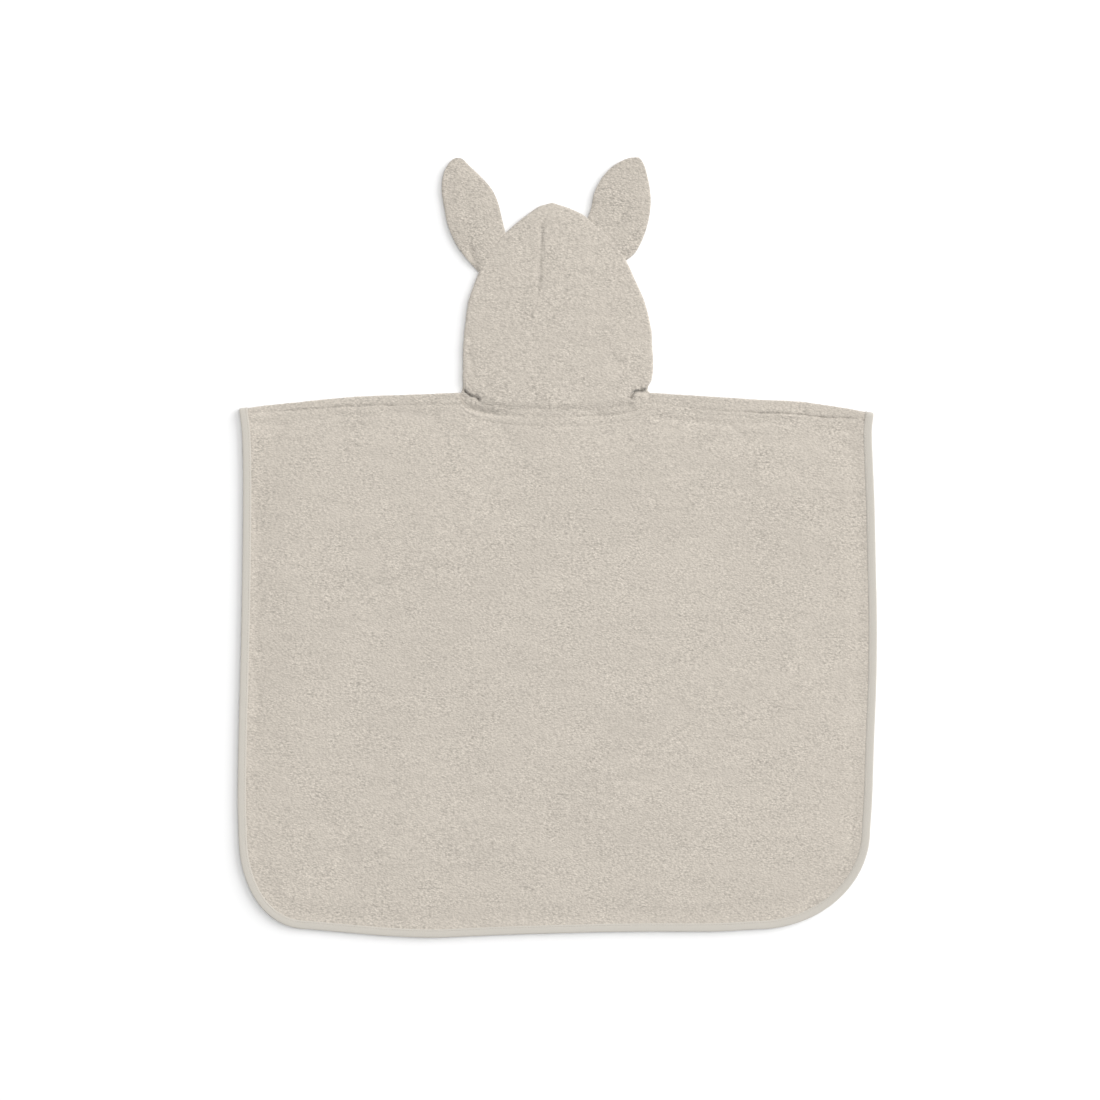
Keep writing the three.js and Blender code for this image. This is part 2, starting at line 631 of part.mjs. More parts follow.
function hoodPanel(side) {
  const sign = side === "left" ? -1 : 1;
  const edge = hoodEdge(side);
  const length = edge.getLength();
  const topY = SHOULDER_Y + HOOD_TOP.up;
  const face = faceLine(0);
  const rowOf = (q) => {
    const silhouette = edge.getPointAt(q);
    const tangent = edge.getTangentAt(q);
    const outward = flat(sign * tangent.y, -sign * tangent.x);
    if (q === 0 || q === 1) outward.set(0, 1);
    const seam = lerp(SEAM_BOTTOM, SEAM_TOP, (silhouette.y - SHOULDER_Y) / (topY - SHOULDER_Y));
    const upperSeam = flat(seamX(seam) + sign * HALF_GAP, seam);
    const lowerSeam = flat(lowerSeamX(seam) + sign * HALF_GAP, seam);
    const high = hoodLow(silhouette.x, silhouette.y, 1, q * length, (1 - q) * length) + CLOTH;
    const radius = high / 2;
    const centre = silhouette.clone().addScaledVector(outward, -radius);
    return { q, silhouette, outward, upperSeam, lowerSeam, radius, centre, pull: 1 - smoothstep(q, 0, NECK_PULL) };
  };
  const rows = HOOD_ROWS.map(rowOf);
  const first = rows[0];
  const pulled = (row, seam, neck, share) => {
    const point = row[seam].clone().lerp(row.centre, share);
    if (share === 1) return point;
    const from = first[seam].clone().lerp(first.centre, share);
    return point.addScaledVector(neckPoint(neck, side, share, -HALF_GAP).sub(from), row.pull);
  };
  const foldEnd = HOOD_UPPER.length - 1 + FOLD_STEPS;
  const at = (inside) => (i, j) => {
    const row = rows[j];
    if (i < HOOD_UPPER.length) {
      const share = HOOD_UPPER[i];
      const { x, y } = pulled(row, "upperSeam", BACK_NECK, share);
      const low = hoodLow(x, y, share, row.q * length, (1 - row.q) * length);
      return new THREE.Vector3(x, y, inside ? low : low + CLOTH);
    }
    if (i >= foldEnd) {
      const share = HOOD_LOWER[i - foldEnd];
      const { x, y } = pulled(row, "lowerSeam", FRONT_NECK, share);
      const held = share === 1 ? 0 : 1 - smoothstep(distance(face, x, y), FACE.flat, FACE.fade);
      const low = FRONT_EDGE_LOW * held;
      return new THREE.Vector3(x, y, inside ? low + lerp(CLOTH, PRESSED, held) : low);
    }
    const turn = Math.PI / 2 - ((i - HOOD_UPPER.length + 1) / FOLD_STEPS) * Math.PI;
    const reach = row.radius - (inside ? CLOTH : 0);
    const place = row.centre.clone().addScaledVector(row.outward, reach * Math.cos(turn));
    return new THREE.Vector3(place.x, place.y, row.radius + reach * Math.sin(turn));
  };
  const columns = foldEnd + HOOD_LOWER.length - 1;
  return wall(columns, rows.length - 1, at(false), at(true));
}

// Prism that cuts the face opening, with the cloth's edge set back inside its binding.
function faceCutter() {
  const outline = moved(faceLine(0), EDGE_INSET);
  const last = outline[outline.length - 1];
  const shape = new THREE.Shape([
    ...outline,
    flat(last.x, last.y - FACE_CUT.below),
    flat(outline[0].x, outline[0].y - FACE_CUT.below),
  ]);
  const depth = FACE_CUT.high - FACE_CUT.low;
  const prism = new THREE.ExtrudeGeometry(shape, { depth, bevelEnabled: false });
  return prism.translate(0, 0, FACE_CUT.low);
}

// One ear: a lower and an upper wall, in a frame with its root at the origin and its tip along Y.
function earWalls(ear) {
  const frame = new THREE.Matrix4().makeRotationZ(degToRad(ear.turn)).setPosition(ear.x, ear.y, 0).invert();
  const local = (point) => {
    const place = new THREE.Vector3(point.x, point.y, 0).applyMatrix4(frame);
    return flat(place.x, place.y);
  };
  const samples = 400;
  const silhouette = hoodEdge(ear.side).getSpacedPoints(samples);
  const outside = moved(silhouette, ear.side === "left" ? GAP : -GAP);
  const base = outside.filter((point) => point.y >= ear.low && point.y <= ear.high).map(local);
  if (ear.side === "right") base.reverse();
  const side = (rows, foot) => {
    const points = rows.map((row) => flat(row.across, row.along));
    return new THREE.SplineCurve([foot, ...points]);
  };
  const left = side(ear.left, base[0]);
  const right = side(ear.right, base[base.length - 1]);
  const foot = (share) => base[Math.round(share * (base.length - 1))];
  const [tipLeft, tipRight] = [left.getPointAt(1), right.getPointAt(1)];
  const outline = [...left.getSpacedPoints(40), ...right.getSpacedPoints(40).reverse()];
  const pointAt = (u, v) => {
    const point = foot(u).clone().lerp(tipLeft.clone().lerp(tipRight, u), v);
    const bend = (curve, start, end, weight) => {
      point.addScaledVector(curve.getPointAt(v).sub(start.clone().lerp(end, v)), weight);
    };
    bend(left, base[0], tipLeft, 1 - u);
    bend(right, base[base.length - 1], tipRight, u);
    return point;
  };
  const at = (heightOf) => (i, j) => {
    const { x, y } = pointAt(EAR_COLUMNS[i], EAR_ROWS[j]);
    const inside = distance(outline, x, y);
    const crown = EAR_CROWN * smoothstep(inside, 0, 20);
    const rim = EAR_RIM * (1 - smoothstep(inside, 0, EAR_RIM_WIDTH));
    return new THREE.Vector3(x, y, heightOf(crown, rim));
  };
  const size = [EAR_COLUMNS.length - 1, EAR_ROWS.length - 1];
  return {
    front: wall(...size, at(() => EAR_WALL), at((_, rim) => rim)),
    back: wall(...size, at((crown, rim) => 2 * EAR_WALL + GAP + crown - rim), at(() => EAR_WALL + GAP)),
  };
}

const wasm = await Module();
wasm.setup();

// A closed geometry as a solid, with its shared vertices joined.
function solid(geometry) {
  const source = geometry.index ? geometry.toNonIndexed() : geometry;
  const points = source.getAttribute("position").array;
  const places = new Map();
  const vertices = [];
  const triangles = [];
  for (let k = 0; k < points.length; k += 3) {
    const key = `${points[k].toFixed(4)} ${points[k + 1].toFixed(4)} ${points[k + 2].toFixed(4)}`;
    if (!places.has(key)) {
      places.set(key, vertices.length / 3);
      vertices.push(points[k], points[k + 1], points[k + 2]);
    }
    triangles.push(places.get(key));
  }
  const mesh = new wasm.Mesh({
    numProp: 3,
    vertProperties: new Float32Array(vertices),
    triVerts: new Uint32Array(triangles),
  });
  return new wasm.Manifold(mesh);
}

// A geometry with the space of another cut out of it.
function cut(geometry, cutter) {
  const mesh = solid(geometry).subtract(solid(cutter)).getMesh();
  const result = new THREE.BufferGeometry();
  result.setAttribute("position", new THREE.BufferAttribute(mesh.vertProperties, mesh.numProp));
  result.setIndex(new THREE.BufferAttribute(mesh.triVerts, 1));
  return result;
}

function piece(name, geometry, material) {
  const mesh = new THREE.Mesh(geometry, material);
  mesh.name = name;
  geometry.computeVertexNormals();
  return mesh;
}

const poncho = new THREE.Group();

const body = new THREE.Group();
body.add(piece("back_panel", backPanel(), TERRY));
body.add(piece("front_panel", frontPanel(), TERRY));
body.add(piece("edge_binding", edgeBinding(), BINDING));
poncho.add(body);

const hood = new THREE.Group();
hood.add(piece("hood_left", cut(hoodPanel("left"), faceCutter()), TERRY));
hood.add(piece("hood_right", cut(hoodPanel("right"), faceCutter()), TERRY));
hood.add(piece("hood_binding", hoodBinding(), BINDING));
poncho.add(hood);

for (const ear of EARS) {
  const group = new THREE.Group();
  group.position.set(ear.x, ear.y, 0);
  group.rotation.z = degToRad(ear.turn);
  const { front, back } = earWalls(ear);
  group.add(piece(`${ear.name}_front`, front, EAR_TERRY));
  group.add(piece(`${ear.name}_back`, back, EAR_TERRY));
  poncho.add(group);
}

export default poncho;
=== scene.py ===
"""Hooded terry bath poncho, laid flat on its front.

Its fine cloth, bindings and stitches are made here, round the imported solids.
Lengths are millimetres until a mesh is made. X runs to the right, Y from the hem to the hood, Z up.
"""

import math

import bmesh
import bpy
import numpy as np
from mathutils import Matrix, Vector


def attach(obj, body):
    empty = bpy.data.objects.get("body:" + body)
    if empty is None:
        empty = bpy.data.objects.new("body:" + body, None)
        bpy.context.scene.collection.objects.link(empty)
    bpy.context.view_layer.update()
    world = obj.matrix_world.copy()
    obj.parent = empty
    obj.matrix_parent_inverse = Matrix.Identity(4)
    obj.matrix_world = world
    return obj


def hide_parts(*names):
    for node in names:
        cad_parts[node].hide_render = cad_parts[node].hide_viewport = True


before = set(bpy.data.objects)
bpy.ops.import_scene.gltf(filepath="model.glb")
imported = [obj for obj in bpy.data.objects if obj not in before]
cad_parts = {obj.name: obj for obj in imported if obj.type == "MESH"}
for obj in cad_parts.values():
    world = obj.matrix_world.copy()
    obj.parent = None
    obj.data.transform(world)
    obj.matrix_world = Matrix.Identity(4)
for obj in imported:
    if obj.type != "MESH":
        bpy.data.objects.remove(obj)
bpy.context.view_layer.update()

MM = 0.001
BODY = "root"
SIGNS = {"left": -1, "right": 1}

# Cloth and seams as in the solids, and a binding that shows 1.2 mm wider than theirs
CLOTH = 2.4
PRESSED = 1.4
GAP = 0.3
TAPE = 1.0
TAPE_WIDTH = 9.2
EDGE_INSET = 2.5
TAPE_HALF = PRESSED / 2 + GAP + TAPE
FRONT_EDGE_Z = TAPE_HALF
BACK_EDGE_Z = 3 * TAPE_HALF + GAP
FRONT_EDGE_LOW = FRONT_EDGE_Z - PRESSED / 2
BACK_EDGE_LOW = BACK_EDGE_Z - PRESSED / 2
BACK_LOW = CLOTH + GAP
EDGE_FLAT = 9.6
EDGE_FADE = 36
FOLD_CENTRE = (FRONT_EDGE_Z + BACK_EDGE_Z) / 2
FOLD_RADIUS = FOLD_CENTRE - FRONT_EDGE_LOW
SEAM_HALF = 0.02
LEAST_WALL = 0.9

# Body
SHOULDER_Y = 170
BODY_LENGTH = 592
HEM_Y = SHOULDER_Y - BODY_LENGTH
HALF_WIDTH = 348
CORNER_DOWN = 481
FRONT_INSET = 3
FRONT_INSET_FADE = 60
PUFF = {"rise": 2.6, "side": 34, "top": 70}


def table(names, text):
    """Named columns of a small table, one row a line."""
    rows = np.array([[float(value) for value in line.split()] for line in text.strip().splitlines()])
    return dict(zip(names.split(), rows.T))


# Top fold of each shoulder: how far it drops, and how far the front wraps over to the seam
SHOULDERS = table("x drop wrap", """
    -347.5 18.2 5
    -321 14.2 6.5
    -293 11.2 8.5
    -227 4.9 10.5
    -152 1.8 11.5
    -106 0.3 12
    101 0.3 9.5
    130 2 12
    167 4.3 15
    225 7.9 14.2
    264 9.7 14
    293 13.6 13.5
    318 17.4 11
    346 23.2 8
""")

# How far each side edge stands outside the half width, going down from the shoulder
SIDES = table("down left right", """
    20 1.8 -0.4
    42 -1 -3
    74 -2.2 -2.1
    120 -2.4 -0.2
    185 -1.8 1.2
    250 -0.7 2.5
    316 0.9 1.9
    382 2.6 -0.6
    448 3.5 -2.8
    481 2.6 -5
""")

# How far the hem hangs below its nominal line
HEM = table("x sag", """
    -273 -2.6
    -231 1.2
    -189 4.7
    -142 6.7
    -111 5.8
    -68 3.9
    -26 2.5
    16 1.4
    58 0.4
    100 0
    156 0
    184 -0.5
    219 -2.6
""")
CORNER_FULLNESS = {"left": 2.2, "right": 2.0}

# Necklines: half superellipses across one width
NECK = {"x": -2.5, "half": 104, "top": 169.7, "left": -106.65, "right": 101.65}
BACK_NECK = {"depth": 26.2, "fullness": 3.3, "centre": -9}
FRONT_NECK = {"depth": 75, "fullness": 2.4, "centre": -8}
NECK_STITCH = {"depth": 37, "fullness": 2.7, "half": 111}
STITCHED = {"depth": 0.4, "start": 1, "full": 5}

# Hood: silhouette going up from the shoulder line, and the centre seam
HOOD_EDGE = table("up left right", """
    0 -106.2 101.2
    3 -104.8 98.4
    7.4 -104.2 99.8
    15 -104.3 103.4
    28 -104.3 105
    49 -104 104
    68 -102.6 102.9
    90 -99.8 98.3
    105 -96.7 93.5
    127 -88.6 83.5
    142 -81.5 76.5
    159 -71 67
    173 -59.8 54.5
    182 -50 44
    189.5 -41.5 35.2
    196 -32.5 26.5
    201 -26 16.5
    205 -19 5.5
""")
HOOD_TOP = {"x": -5.9, "up": 208.7}
HOOD_SEAM = table("y x", """
    143 -9
    230 -11
    290 -16
    350 -15.5
    379 -6
""")
SEAM_BOTTOM = 143
SEAM_TOP = 370
NECK_PULL = 0.4
HOOD_LOFT = {"edge": 1.9, "middle": 1.8, "start": 16, "end": 35, "least": 0.35, "dip": 0.8}
HOOD_LEAST = 3.4
FACE = {"x": -8, "bottom": 95, "height": 238, "half": 8, "spread": 30, "start": 1.5}
FACE_LIFT = {"flat": 18, "fade": 44}

# Soft ridges and troughs, each along a line: how far it rises, and how wide it is
BACK_SWELLS = table("x0 y0 x1 y1 rise width", """
    -318 -300 -322 90 -0.8 22
    -250 -330 -60 -300 0.9 38
    60 -250 250 -160 0.8 46
    -230 -60 -90 40 0.7 42
    120 40 290 60 0.7 34
    -20 -200 10 20 -0.7 40
""")
BACK_TROUGHS = table("x0 y0 x1 y1 rise width", """
    109 144 145 138 -0.9 4
    148 138 190 134 -1.1 4.5
    190 134 205 122 -0.8 4
    198 137 258 137 -0.9 4.5
    283 128 322 127 -0.8 5
    309 115 316 114 -0.7 5
    -337 137 -302 134 -0.9 4.5
    -246 146 -238 144 -0.8 5
    -190 148 -138 145 -0.8 4.5
    -333 -210 -331 60 -0.5 7
""")
NECK_LUMP = {"x": -8, "rise": 1.9, "flat": 21, "end": 66, "start": 50, "full": 90, "fall": 175, "to": 250}
HOOD_SWELLS = table("x0 y0 x1 y1 rise width", """
    -104 174 -86.6 163.4 -1.0 5
    -100 156 -58 151 -0.8 5
    101 175 79.5 167.5 -1.0 5
    80 153 68 151 -0.8 5
    -15.7 357 -16.2 275 -0.5 6
""")
HOOD_TROUGHS = table("x0 y0 x1 y1 rise width", """
    -101 158.5 -90 152 -1.0 2.4
    -86 151.5 -76 150.5 -1.5 4
    -76 149.5 -60 149 -0.9 2.6
    80 164 77 158 -0.8 2.6
    80 153 70 151.5 -0.9 4
    -9 145 -9 200 0.5 7
    -97 214 -93 188 -0.7 4
    -100 238 -96 226 -0.6 4
    60 205 88 188 -0.5 6
    -70 178 -45 172 0.5 6
""")

# Sharp creases that run in from the hood's lower corners, with painted shade in them
CREASES = (
    table("x y", """
        -103.9 173.8
        -101.1 170.4
        -96.3 167
        -90.9 165
        -86.2 162.6
    """),
    table("x y", """
        99.9 174.4
        94.7 172.5
        90.7 172.2
        85.5 171.3
        82.2 168.8
        80.2 164.6
    """),
)
CREASE = {"depth": 3.8, "width": 1.3, "sway": 0.5, "uneven": 0.8, "painted_shade": 0.55}
CREASE_LUMPS = {"rise": 0.7, "away": 3, "width": 5}

# Narrow line down the top of the hood, steep on its right side, with painted shade along it
CROWN = table("y x depth", """
    268 -21.4 0
    277.5 -21 0.2
    293.7 -18.8 0.5
    310 -18.4 0.25
    321 -18.2 0.35
    340 -17 0.35
    353.5 -15.9 0.25
    362 -14.5 0
""")
CROWN_LINE = {"steep": 1.6, "soft": 3.8, "painted_shade": 0.5}

# How deep the cloth is drawn into the neck seam
NECK_DEPTHS = table("x depth", """
    -107 0.5
    -97 1.0
    -84 1.3
    -68 1.0
    -50 0.45
    -10 0.25
    22 0.35
    45 0.6
    66 0.7
    82 0.5
    102 0.25
""")
# How deep the cloth is drawn into the shoulder seams
SHOULDER_DEPTHS = table("x depth", """
    -346 0.3
    -305 0.4
    -283 0.9
    -230 1.0
    -190 0.8
    -150 0.35
    -106 0.2
    101 0.2
    145 0.35
    200 0.6
    222 1.1
    290 1.2
    325 0.8
    346 0.4
""")
# Painted shade in the shoulder seams, as a share of how deep the cloth sinks there
SEAM_PAINTED_SHADE = 0.09
SEAM_SWAY = 0.7
SEAM_WIDTHS = {"neck": 1.9, "shoulder": 1.3, "stitch": 1.7, "centre": 1.5}
CENTRE_SEAM = {"depth": 0.15, "fall": 250, "to": 275}

# Soft ridges beside the neck seam and the binding, and the second trough of the right shoulder seam
NECK_RIDGE = {"rise": 0.3, "away": 5, "width": 2.6}
TAPE_RIDGE = {"rise": 0.35, "away": 1, "width": 3.5}
RIGHT_SEAM = {"start": 125, "full": 150, "fall": 262, "end": 280, "depth": 0.4, "away": 5.5, "width": 1.8}

# Painted shade in the folds round the neck and at the crown: how dark, and how wide
PAINTED_SHADES = table("x0 y0 x1 y1 rise width", """
    -101.5 158 -96 155 0.1 1.5
    -95 154 -90 151.5 0.16 1.5
    -89.5 151.5 -84 150 0.12 2
    -82.5 150.3 -79.5 149.6 0.24 2.6
    -77 149.5 -71 148.6 0.17 1.4
    -70 148.2 -64.5 149.4 0.16 1.3
    -66 146 -60 146.4 0.08 1.6
    -57 150.5 -54 151 0.07 1.8
    80 166 76 160 0.1 2
    84 171.2 90 171.9 0.3 1.2
    91.5 172.2 96.5 172.9 0.36 1.2
    20 144.5 57 145.5 0.05 1.3
    60 146 78 148.5 0.06 1.6
    80 156 84 152 0.07 3
    -16 353 -16.4 326 0.06 2.2
    -18.2 318 -18.6 309 0.06 1.6
    -19.5 298 -20.2 292 0.15 1.8
""")

# Small ripples round the corners of the neck
RIPPLES = table("x y rise pitch reach", """
    -99 152 0.2 3.7 11
    94 152 0.2 4 10
""")

# Folds: how square they are, how far the shoulder fold stays out of the seam's dip, how much of the
# dip shows on the inner side, and how far along the shoulder the seam bends to the neckline
FOLD_SQUARE = 0.68
HOOD_SQUARE = 0.8
FOLD_CLEAR = 9
INNER_SHARE = 0.4
NECK_REACH = 25

EAR_TROUGHS = table("x0 y0 x1 y1 rise width", """
    -96.5 329.2 -88.8 302.8 -1.5 3.6
    -104 396 -98 352 -0.5 7
    60 352 84 404 -0.4 8
""")

# Ears: each one's root and turn, the heights on the hood's edge between which it stands, and its
# two side lines, along it from the root
EAR_WALL = 2.8
EAR_CROWN = {"rise": 1.2, "inside": 20, "at_base": 0.5, "from_base": 14}
EAR_TUCK = 1.3
EAR_RIM = {"depth": 1.1, "width": 2.6, "fullness": 3}
EAR_LEAST = 0.35
EAR_SPLIT = 0.03
EARS = {
    "left": {"x": -72.8, "y": 322.6, "turn": 19.5, "low": 300.6, "high": 344.6},
    "right": {"x": 55, "y": 337.4, "turn": -18.8, "low": 314.3, "high": 360.5},
}
EAR_SIDES = {
    ("left", "left"): table("along across", """
        -2 -25.2
        10 -29.8
        26 -33.6
        45 -34.7
        65 -32.1
        85 -27.9
        100 -20.5
        108 -12.5
        111.4 -6.3
        112 -3.2
    """),
    ("left", "right"): table("along across", """
        36 24.1
        51 25.4
        67 23.8
        85 16.6
        98 10
        106.4 6
        110 3
        111.9 -1.2
    """),
    ("right", "left"): table("along across", """
        28 -28.6
        43 -30.6
        57 -29.3
        70 -25.4
        80.4 -19.6
        89.2 -11.6
        93.8 -5.4
        96.4 0.8
    """),
    ("right", "right"): table("along across", """
        -7 31.2
        2 34.3
        18 36
        36 35.1
        54 31.4
        70 24.6
        85.6 15.2
        90.4 11.6
        94.6 7.2
        96.7 3
    """),
}

# Fine grids of the body: cells from a side to the neck, across half the neck, and along the length.
# The inner side of a wall has every STEP-th point.
STEP = 4
SHOULDER_CELLS = 96
NECK_CELLS = 36
BACK_CELLS = 300
BACK_CROWD = 1.4
FRONT_CELLS = 112
FRONT_CROWD = 0.9
FOLD_CELLS = 12
STRAP_CELLS = 12

# Fine grids of a hood half: cells up from the neck, across the top, round the side and underneath
HOOD_ROWS = 240
HOOD_UPPER = 100
HOOD_FOLD = 12
HOOD_LOWER = 28
HOOD_CROWD = {"rows": 1.35, "across": 1.3}

EAR_CELLS = {"across": 32, "along": 60}
CURVE_POINTS = {"corner": 41, "side": 91, "hem": 121, "neck": 121, "face": 181, "underneath": 81}
SPACING = {"fine": 0.5, "neck": 5, "coarse": 14, "ear": 4, "station": 3}
SMOOTH_ANGLE = 58


# Small mathematics

def mix(a, b, share):
    return a + (b - a) * share


def smoothstep(value, start, end):
    share = np.clip((value - start) / (end - start), 0, 1)
    return share * share * (3 - 2 * share)


def through(rows, key, column):
    """A smooth curve through one column of a table, as a function of its key."""
    keys, values = rows[key], rows[column]
    last = len(keys) - 1
    before = np.maximum(np.arange(len(keys)) - 1, 0)
    after = np.minimum(np.arange(len(keys)) + 1, last)
    slopes = (values[after] - values[before]) / (keys[after] - keys[before])

    def curve(at):
        at = np.asarray(at, float)
        k = np.clip(np.searchsorted(keys, at) - 1, 0, last - 1)
        width = keys[k + 1] - keys[k]
        s = np.clip((at - keys[k]) / width, 0, 1)
        leave = s * (1 - s) ** 2 * width * slopes[k]
        arrive = s * s * (s - 1) * width * slopes[k + 1]
        return mix(values[k], values[k + 1], s * s * (3 - 2 * s)) + leave + arrive

    return curve


def distance(line, x, y):
    """Distance from points to a line of points."""
    nearest = np.full(np.shape(x), np.inf)
    for a, b in zip(line[:-1], line[1:]):
        along = b - a
        s = ((x - a[0]) * along[0] + (y - a[1]) * along[1]) / max(along @ along, 1e-9)
        s = np.clip(s, 0, 1)
        nearest = np.minimum(nearest, np.hypot(x - a[0] - s * along[0], y - a[1] - s * along[1]))
    return nearest


def unit(arrows):
    return arrows / np.linalg.norm(arrows, axis=1, keepdims=True)


def bell(away, width):
    return np.exp(-((away / width) ** 2))


def relief(rows, x, y):
    """Sum of soft ridges and troughs, each along a line of its table."""
    total = np.zeros(np.shape(x))
    for x0, y0, x1, y1, rise, width in zip(*rows.values()):
        away = distance(np.array([[x0, y0], [x1, y1]]), x, y)
        total += rise * bell(away, width)
    return total


def noise(x, y, size, seed):
    """Smooth random heights from -1 to 1, one for each lattice square of this size."""
    u, v = np.asarray(x) / size, np.asarray(y) / size
    i, j = np.floor(u).astype(np.int64), np.floor(v).astype(np.int64)
    f, g = u - i, v - j
    f, g = f * f * (3 - 2 * f), g * g * (3 - 2 * g)

    def lattice(a, b):
        h = (a * 374761393 + b * 668265263 + seed * 974634777) & 0xFFFFFFFF
        h = ((h ^ (h >> 13)) * 1274126177) & 0xFFFFFFFF
        return ((h ^ (h >> 16)) & 0xFFFF) / 32767.5 - 1

    near = mix(lattice(i, j), lattice(i + 1, j), f)
    far = mix(lattice(i, j + 1), lattice(i + 1, j + 1), f)
    return mix(near, far, g)


def moved(line, amount):
    """Points of a line moved to its left."""
    along = unit(np.gradient(line, axis=0))
    return line + amount * np.stack([-along[:, 1], along[:, 0]], 1)


def resampled(line, spacing):
    """A line of points with even steps of about this length."""
    steps = np.r_[0, np.cumsum(np.linalg.norm(np.diff(line, axis=0), axis=1))]
    even = np.linspace(0, steps[-1], max(2, round(steps[-1] / spacing) + 1))
    return np.stack([np.interp(even, steps, column) for column in line.T], 1)


def picked(line, places):
    """Points of a line at these places, counted in its steps."""
    return np.stack([np.interp(places, np.arange(len(line)), column) for column in line.T], 1)


def spline(points, spacing):
    """A smooth line through points, resampled to even steps."""
    ends = np.vstack([2 * points[0] - points[1], points, 2 * points[-1] - points[-2]])
    s = np.linspace(0, 1, 24, endpoint=False)[:, None]
    line = []
    for a, b, c, d in zip(ends, ends[1:], ends[2:], ends[3:]):
        line.append(0.5 * (2 * b + (c - a) * s + (2 * a - 5 * b + 4 * c - d) * s ** 2
                           + (3 * b - a - 3 * c + d) * s ** 3))
    return resampled(np.vstack([*line, points[-1:]]), spacing)


def nub(x, y, z=0):
    """Uneven height of the terry pile."""
    return (0.16 * noise(x + z, y - z, 3.1, 1) + 0.14 * noise(x - z, y + z, 5.3, 2)
            + 0.08 * noise(x + z, y + z, 13, 3))


def fold_nub(x, y, turn):
    """Uneven height of the pile on a fold, at each turn round it."""
    return nub(x, y, 3 * np.sin(turn)) + 0.1


def underside(x, y, held):
    """Uneven height of cloth that lies on the floor, flat where a binding holds it."""
    return FRONT_EDGE_LOW * held + 0.2 * (1 + noise(x, y, 5, 31)) * (1 - held)


# Meshes

def placed(name, data):
    """A new object in the scene."""
    made = bpy.data.objects.new(name, data)
    bpy.context.scene.collection.objects.link(made)
    return made


def make(name, shape, material, node):
    """A shown piece from points in millimetres, faces and any painted shade of each point.

    Its faces are turned outwards. It stands for a node of the solids, unless that is None.
    """
    points, faces, *painted_shades = shape
    used, flat = np.unique(np.concatenate(faces), return_inverse=True)
    ends = np.cumsum([len(face) for face in faces])[:-1]
    faces = [part.tolist() for part in np.split(flat, ends)]
    data = bpy.data.meshes.new(name)
    data.from_pydata((points[used] * MM).tolist(), [], faces)
    work = bmesh.new()
    work.from_mesh(data)
    if work.calc_volume(signed=True) < 0:
        bmesh.ops.reverse_faces(work, faces=work.faces)
        work.to_mesh(data)
    work.free()
    data.polygons.foreach_set("use_smooth", np.ones(len(data.polygons), bool))
    data.set_sharp_from_angle(angle=math.radians(SMOOTH_ANGLE))
    data.materials.append(material)
    for painted_shade in painted_shades:
        data.attributes.new("painted_shade", "FLOAT", "POINT").data.foreach_set("value", painted_shade[used])
    piece = placed(name, data)
    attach(piece, BODY)
    if node:
        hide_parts(node)
    return piece


def shell(outer, inner, painted_shade=None, present=None):
    """A closed wall: a fine outer grid, which may carry painted shade, and a coarser inner one."""
    n, m = outer.shape[:2]
    fine = np.arange(n * m).reshape(n, m)
    coarse = n * m + np.arange(inner[..., 0].size).reshape(inner.shape[:2])
    if present is None:
        present = np.ones((coarse.shape[0] - 1, coarse.shape[1] - 1), bool)
    shown = np.repeat(np.repeat(present, STEP, 0), STEP, 1)
    front = np.stack([fine[:-1, :-1], fine[1:, :-1], fine[1:, 1:], fine[:-1, 1:]], -1)[shown]
    back = np.stack([coarse[:-1, 1:], coarse[1:, 1:], coarse[1:, :-1], coarse[:-1, :-1]], -1)[present]
    faces = front.tolist() + back.tolist()
    padded = np.pad(present, 1)
    for i, j in zip(*np.nonzero(present)):
        a, b, c, d = i * STEP, (i + 1) * STEP, j * STEP, (j + 1) * STEP
        if not padded[i + 1, j]:
            faces.append([*fine[a:b + 1, c][::-1], coarse[i, j], coarse[i + 1, j]])
        if not padded[i + 2, j + 1]:
            faces.append([*fine[b, c:d + 1][::-1], coarse[i + 1, j], coarse[i + 1, j + 1]])
        if not padded[i + 1, j + 2]:
            faces.append([*fine[a:b + 1, d], coarse[i + 1, j + 1], coarse[i, j + 1]])
        if not padded[i, j + 1]:
            faces.append([*fine[a, c:d + 1], coarse[i, j + 1], coarse[i, j]])
    points = np.vstack([outer.reshape(-1, 3), inner.reshape(-1, 3)])
    if painted_shade is None:
        return points, faces
    return points, faces, np.r_[np.clip(painted_shade, 0, 1).ravel(), np.zeros(inner[..., 0].size)]


def swept(places, inwards, ups, profile, closed):
    """Points and faces of a band: a closed profile carried along stations."""
    grid = (places[:, None] + inwards[:, None] * profile[:, 0, None]
            + ups[:, None] * profile[:, 1, None])
    s, p = grid.shape[:2]
    number = np.arange(s * p).reshape(s, p)
    last = s if closed else s - 1
    here, there = number[:last], np.roll(number, -1, 0)[:last]
    quads = np.stack([here, np.roll(here, -1, 1), np.roll(there, -1, 1), there], -1).reshape(-1, 4)
    faces = quads.tolist()
    if not closed:
        faces += [number[0][::-1].tolist(), number[-1].tolist()]
    return grid.reshape(-1, 3), faces


# Outlines, worked out as in the solids

drop, wrap = through(SHOULDERS, "x", "drop"), through(SHOULDERS, "x", "wrap")
sag = through(HEM, "x", "sag")
stand = {side: through(SIDES, "down", side) for side in SIGNS}


def fold_y(x):
    return SHOULDER_Y - drop(x)


def seam_y(x):
    return fold_y(x) - wrap(x)


def side_x(side, y, inset, front):
    shrink = front * smoothstep(SHOULDER_Y - y, 20, 20 + FRONT_INSET_FADE)
    out = HALF_WIDTH + stand[side](SHOULDER_Y - y) - inset - shrink
    return SIGNS[side] * out


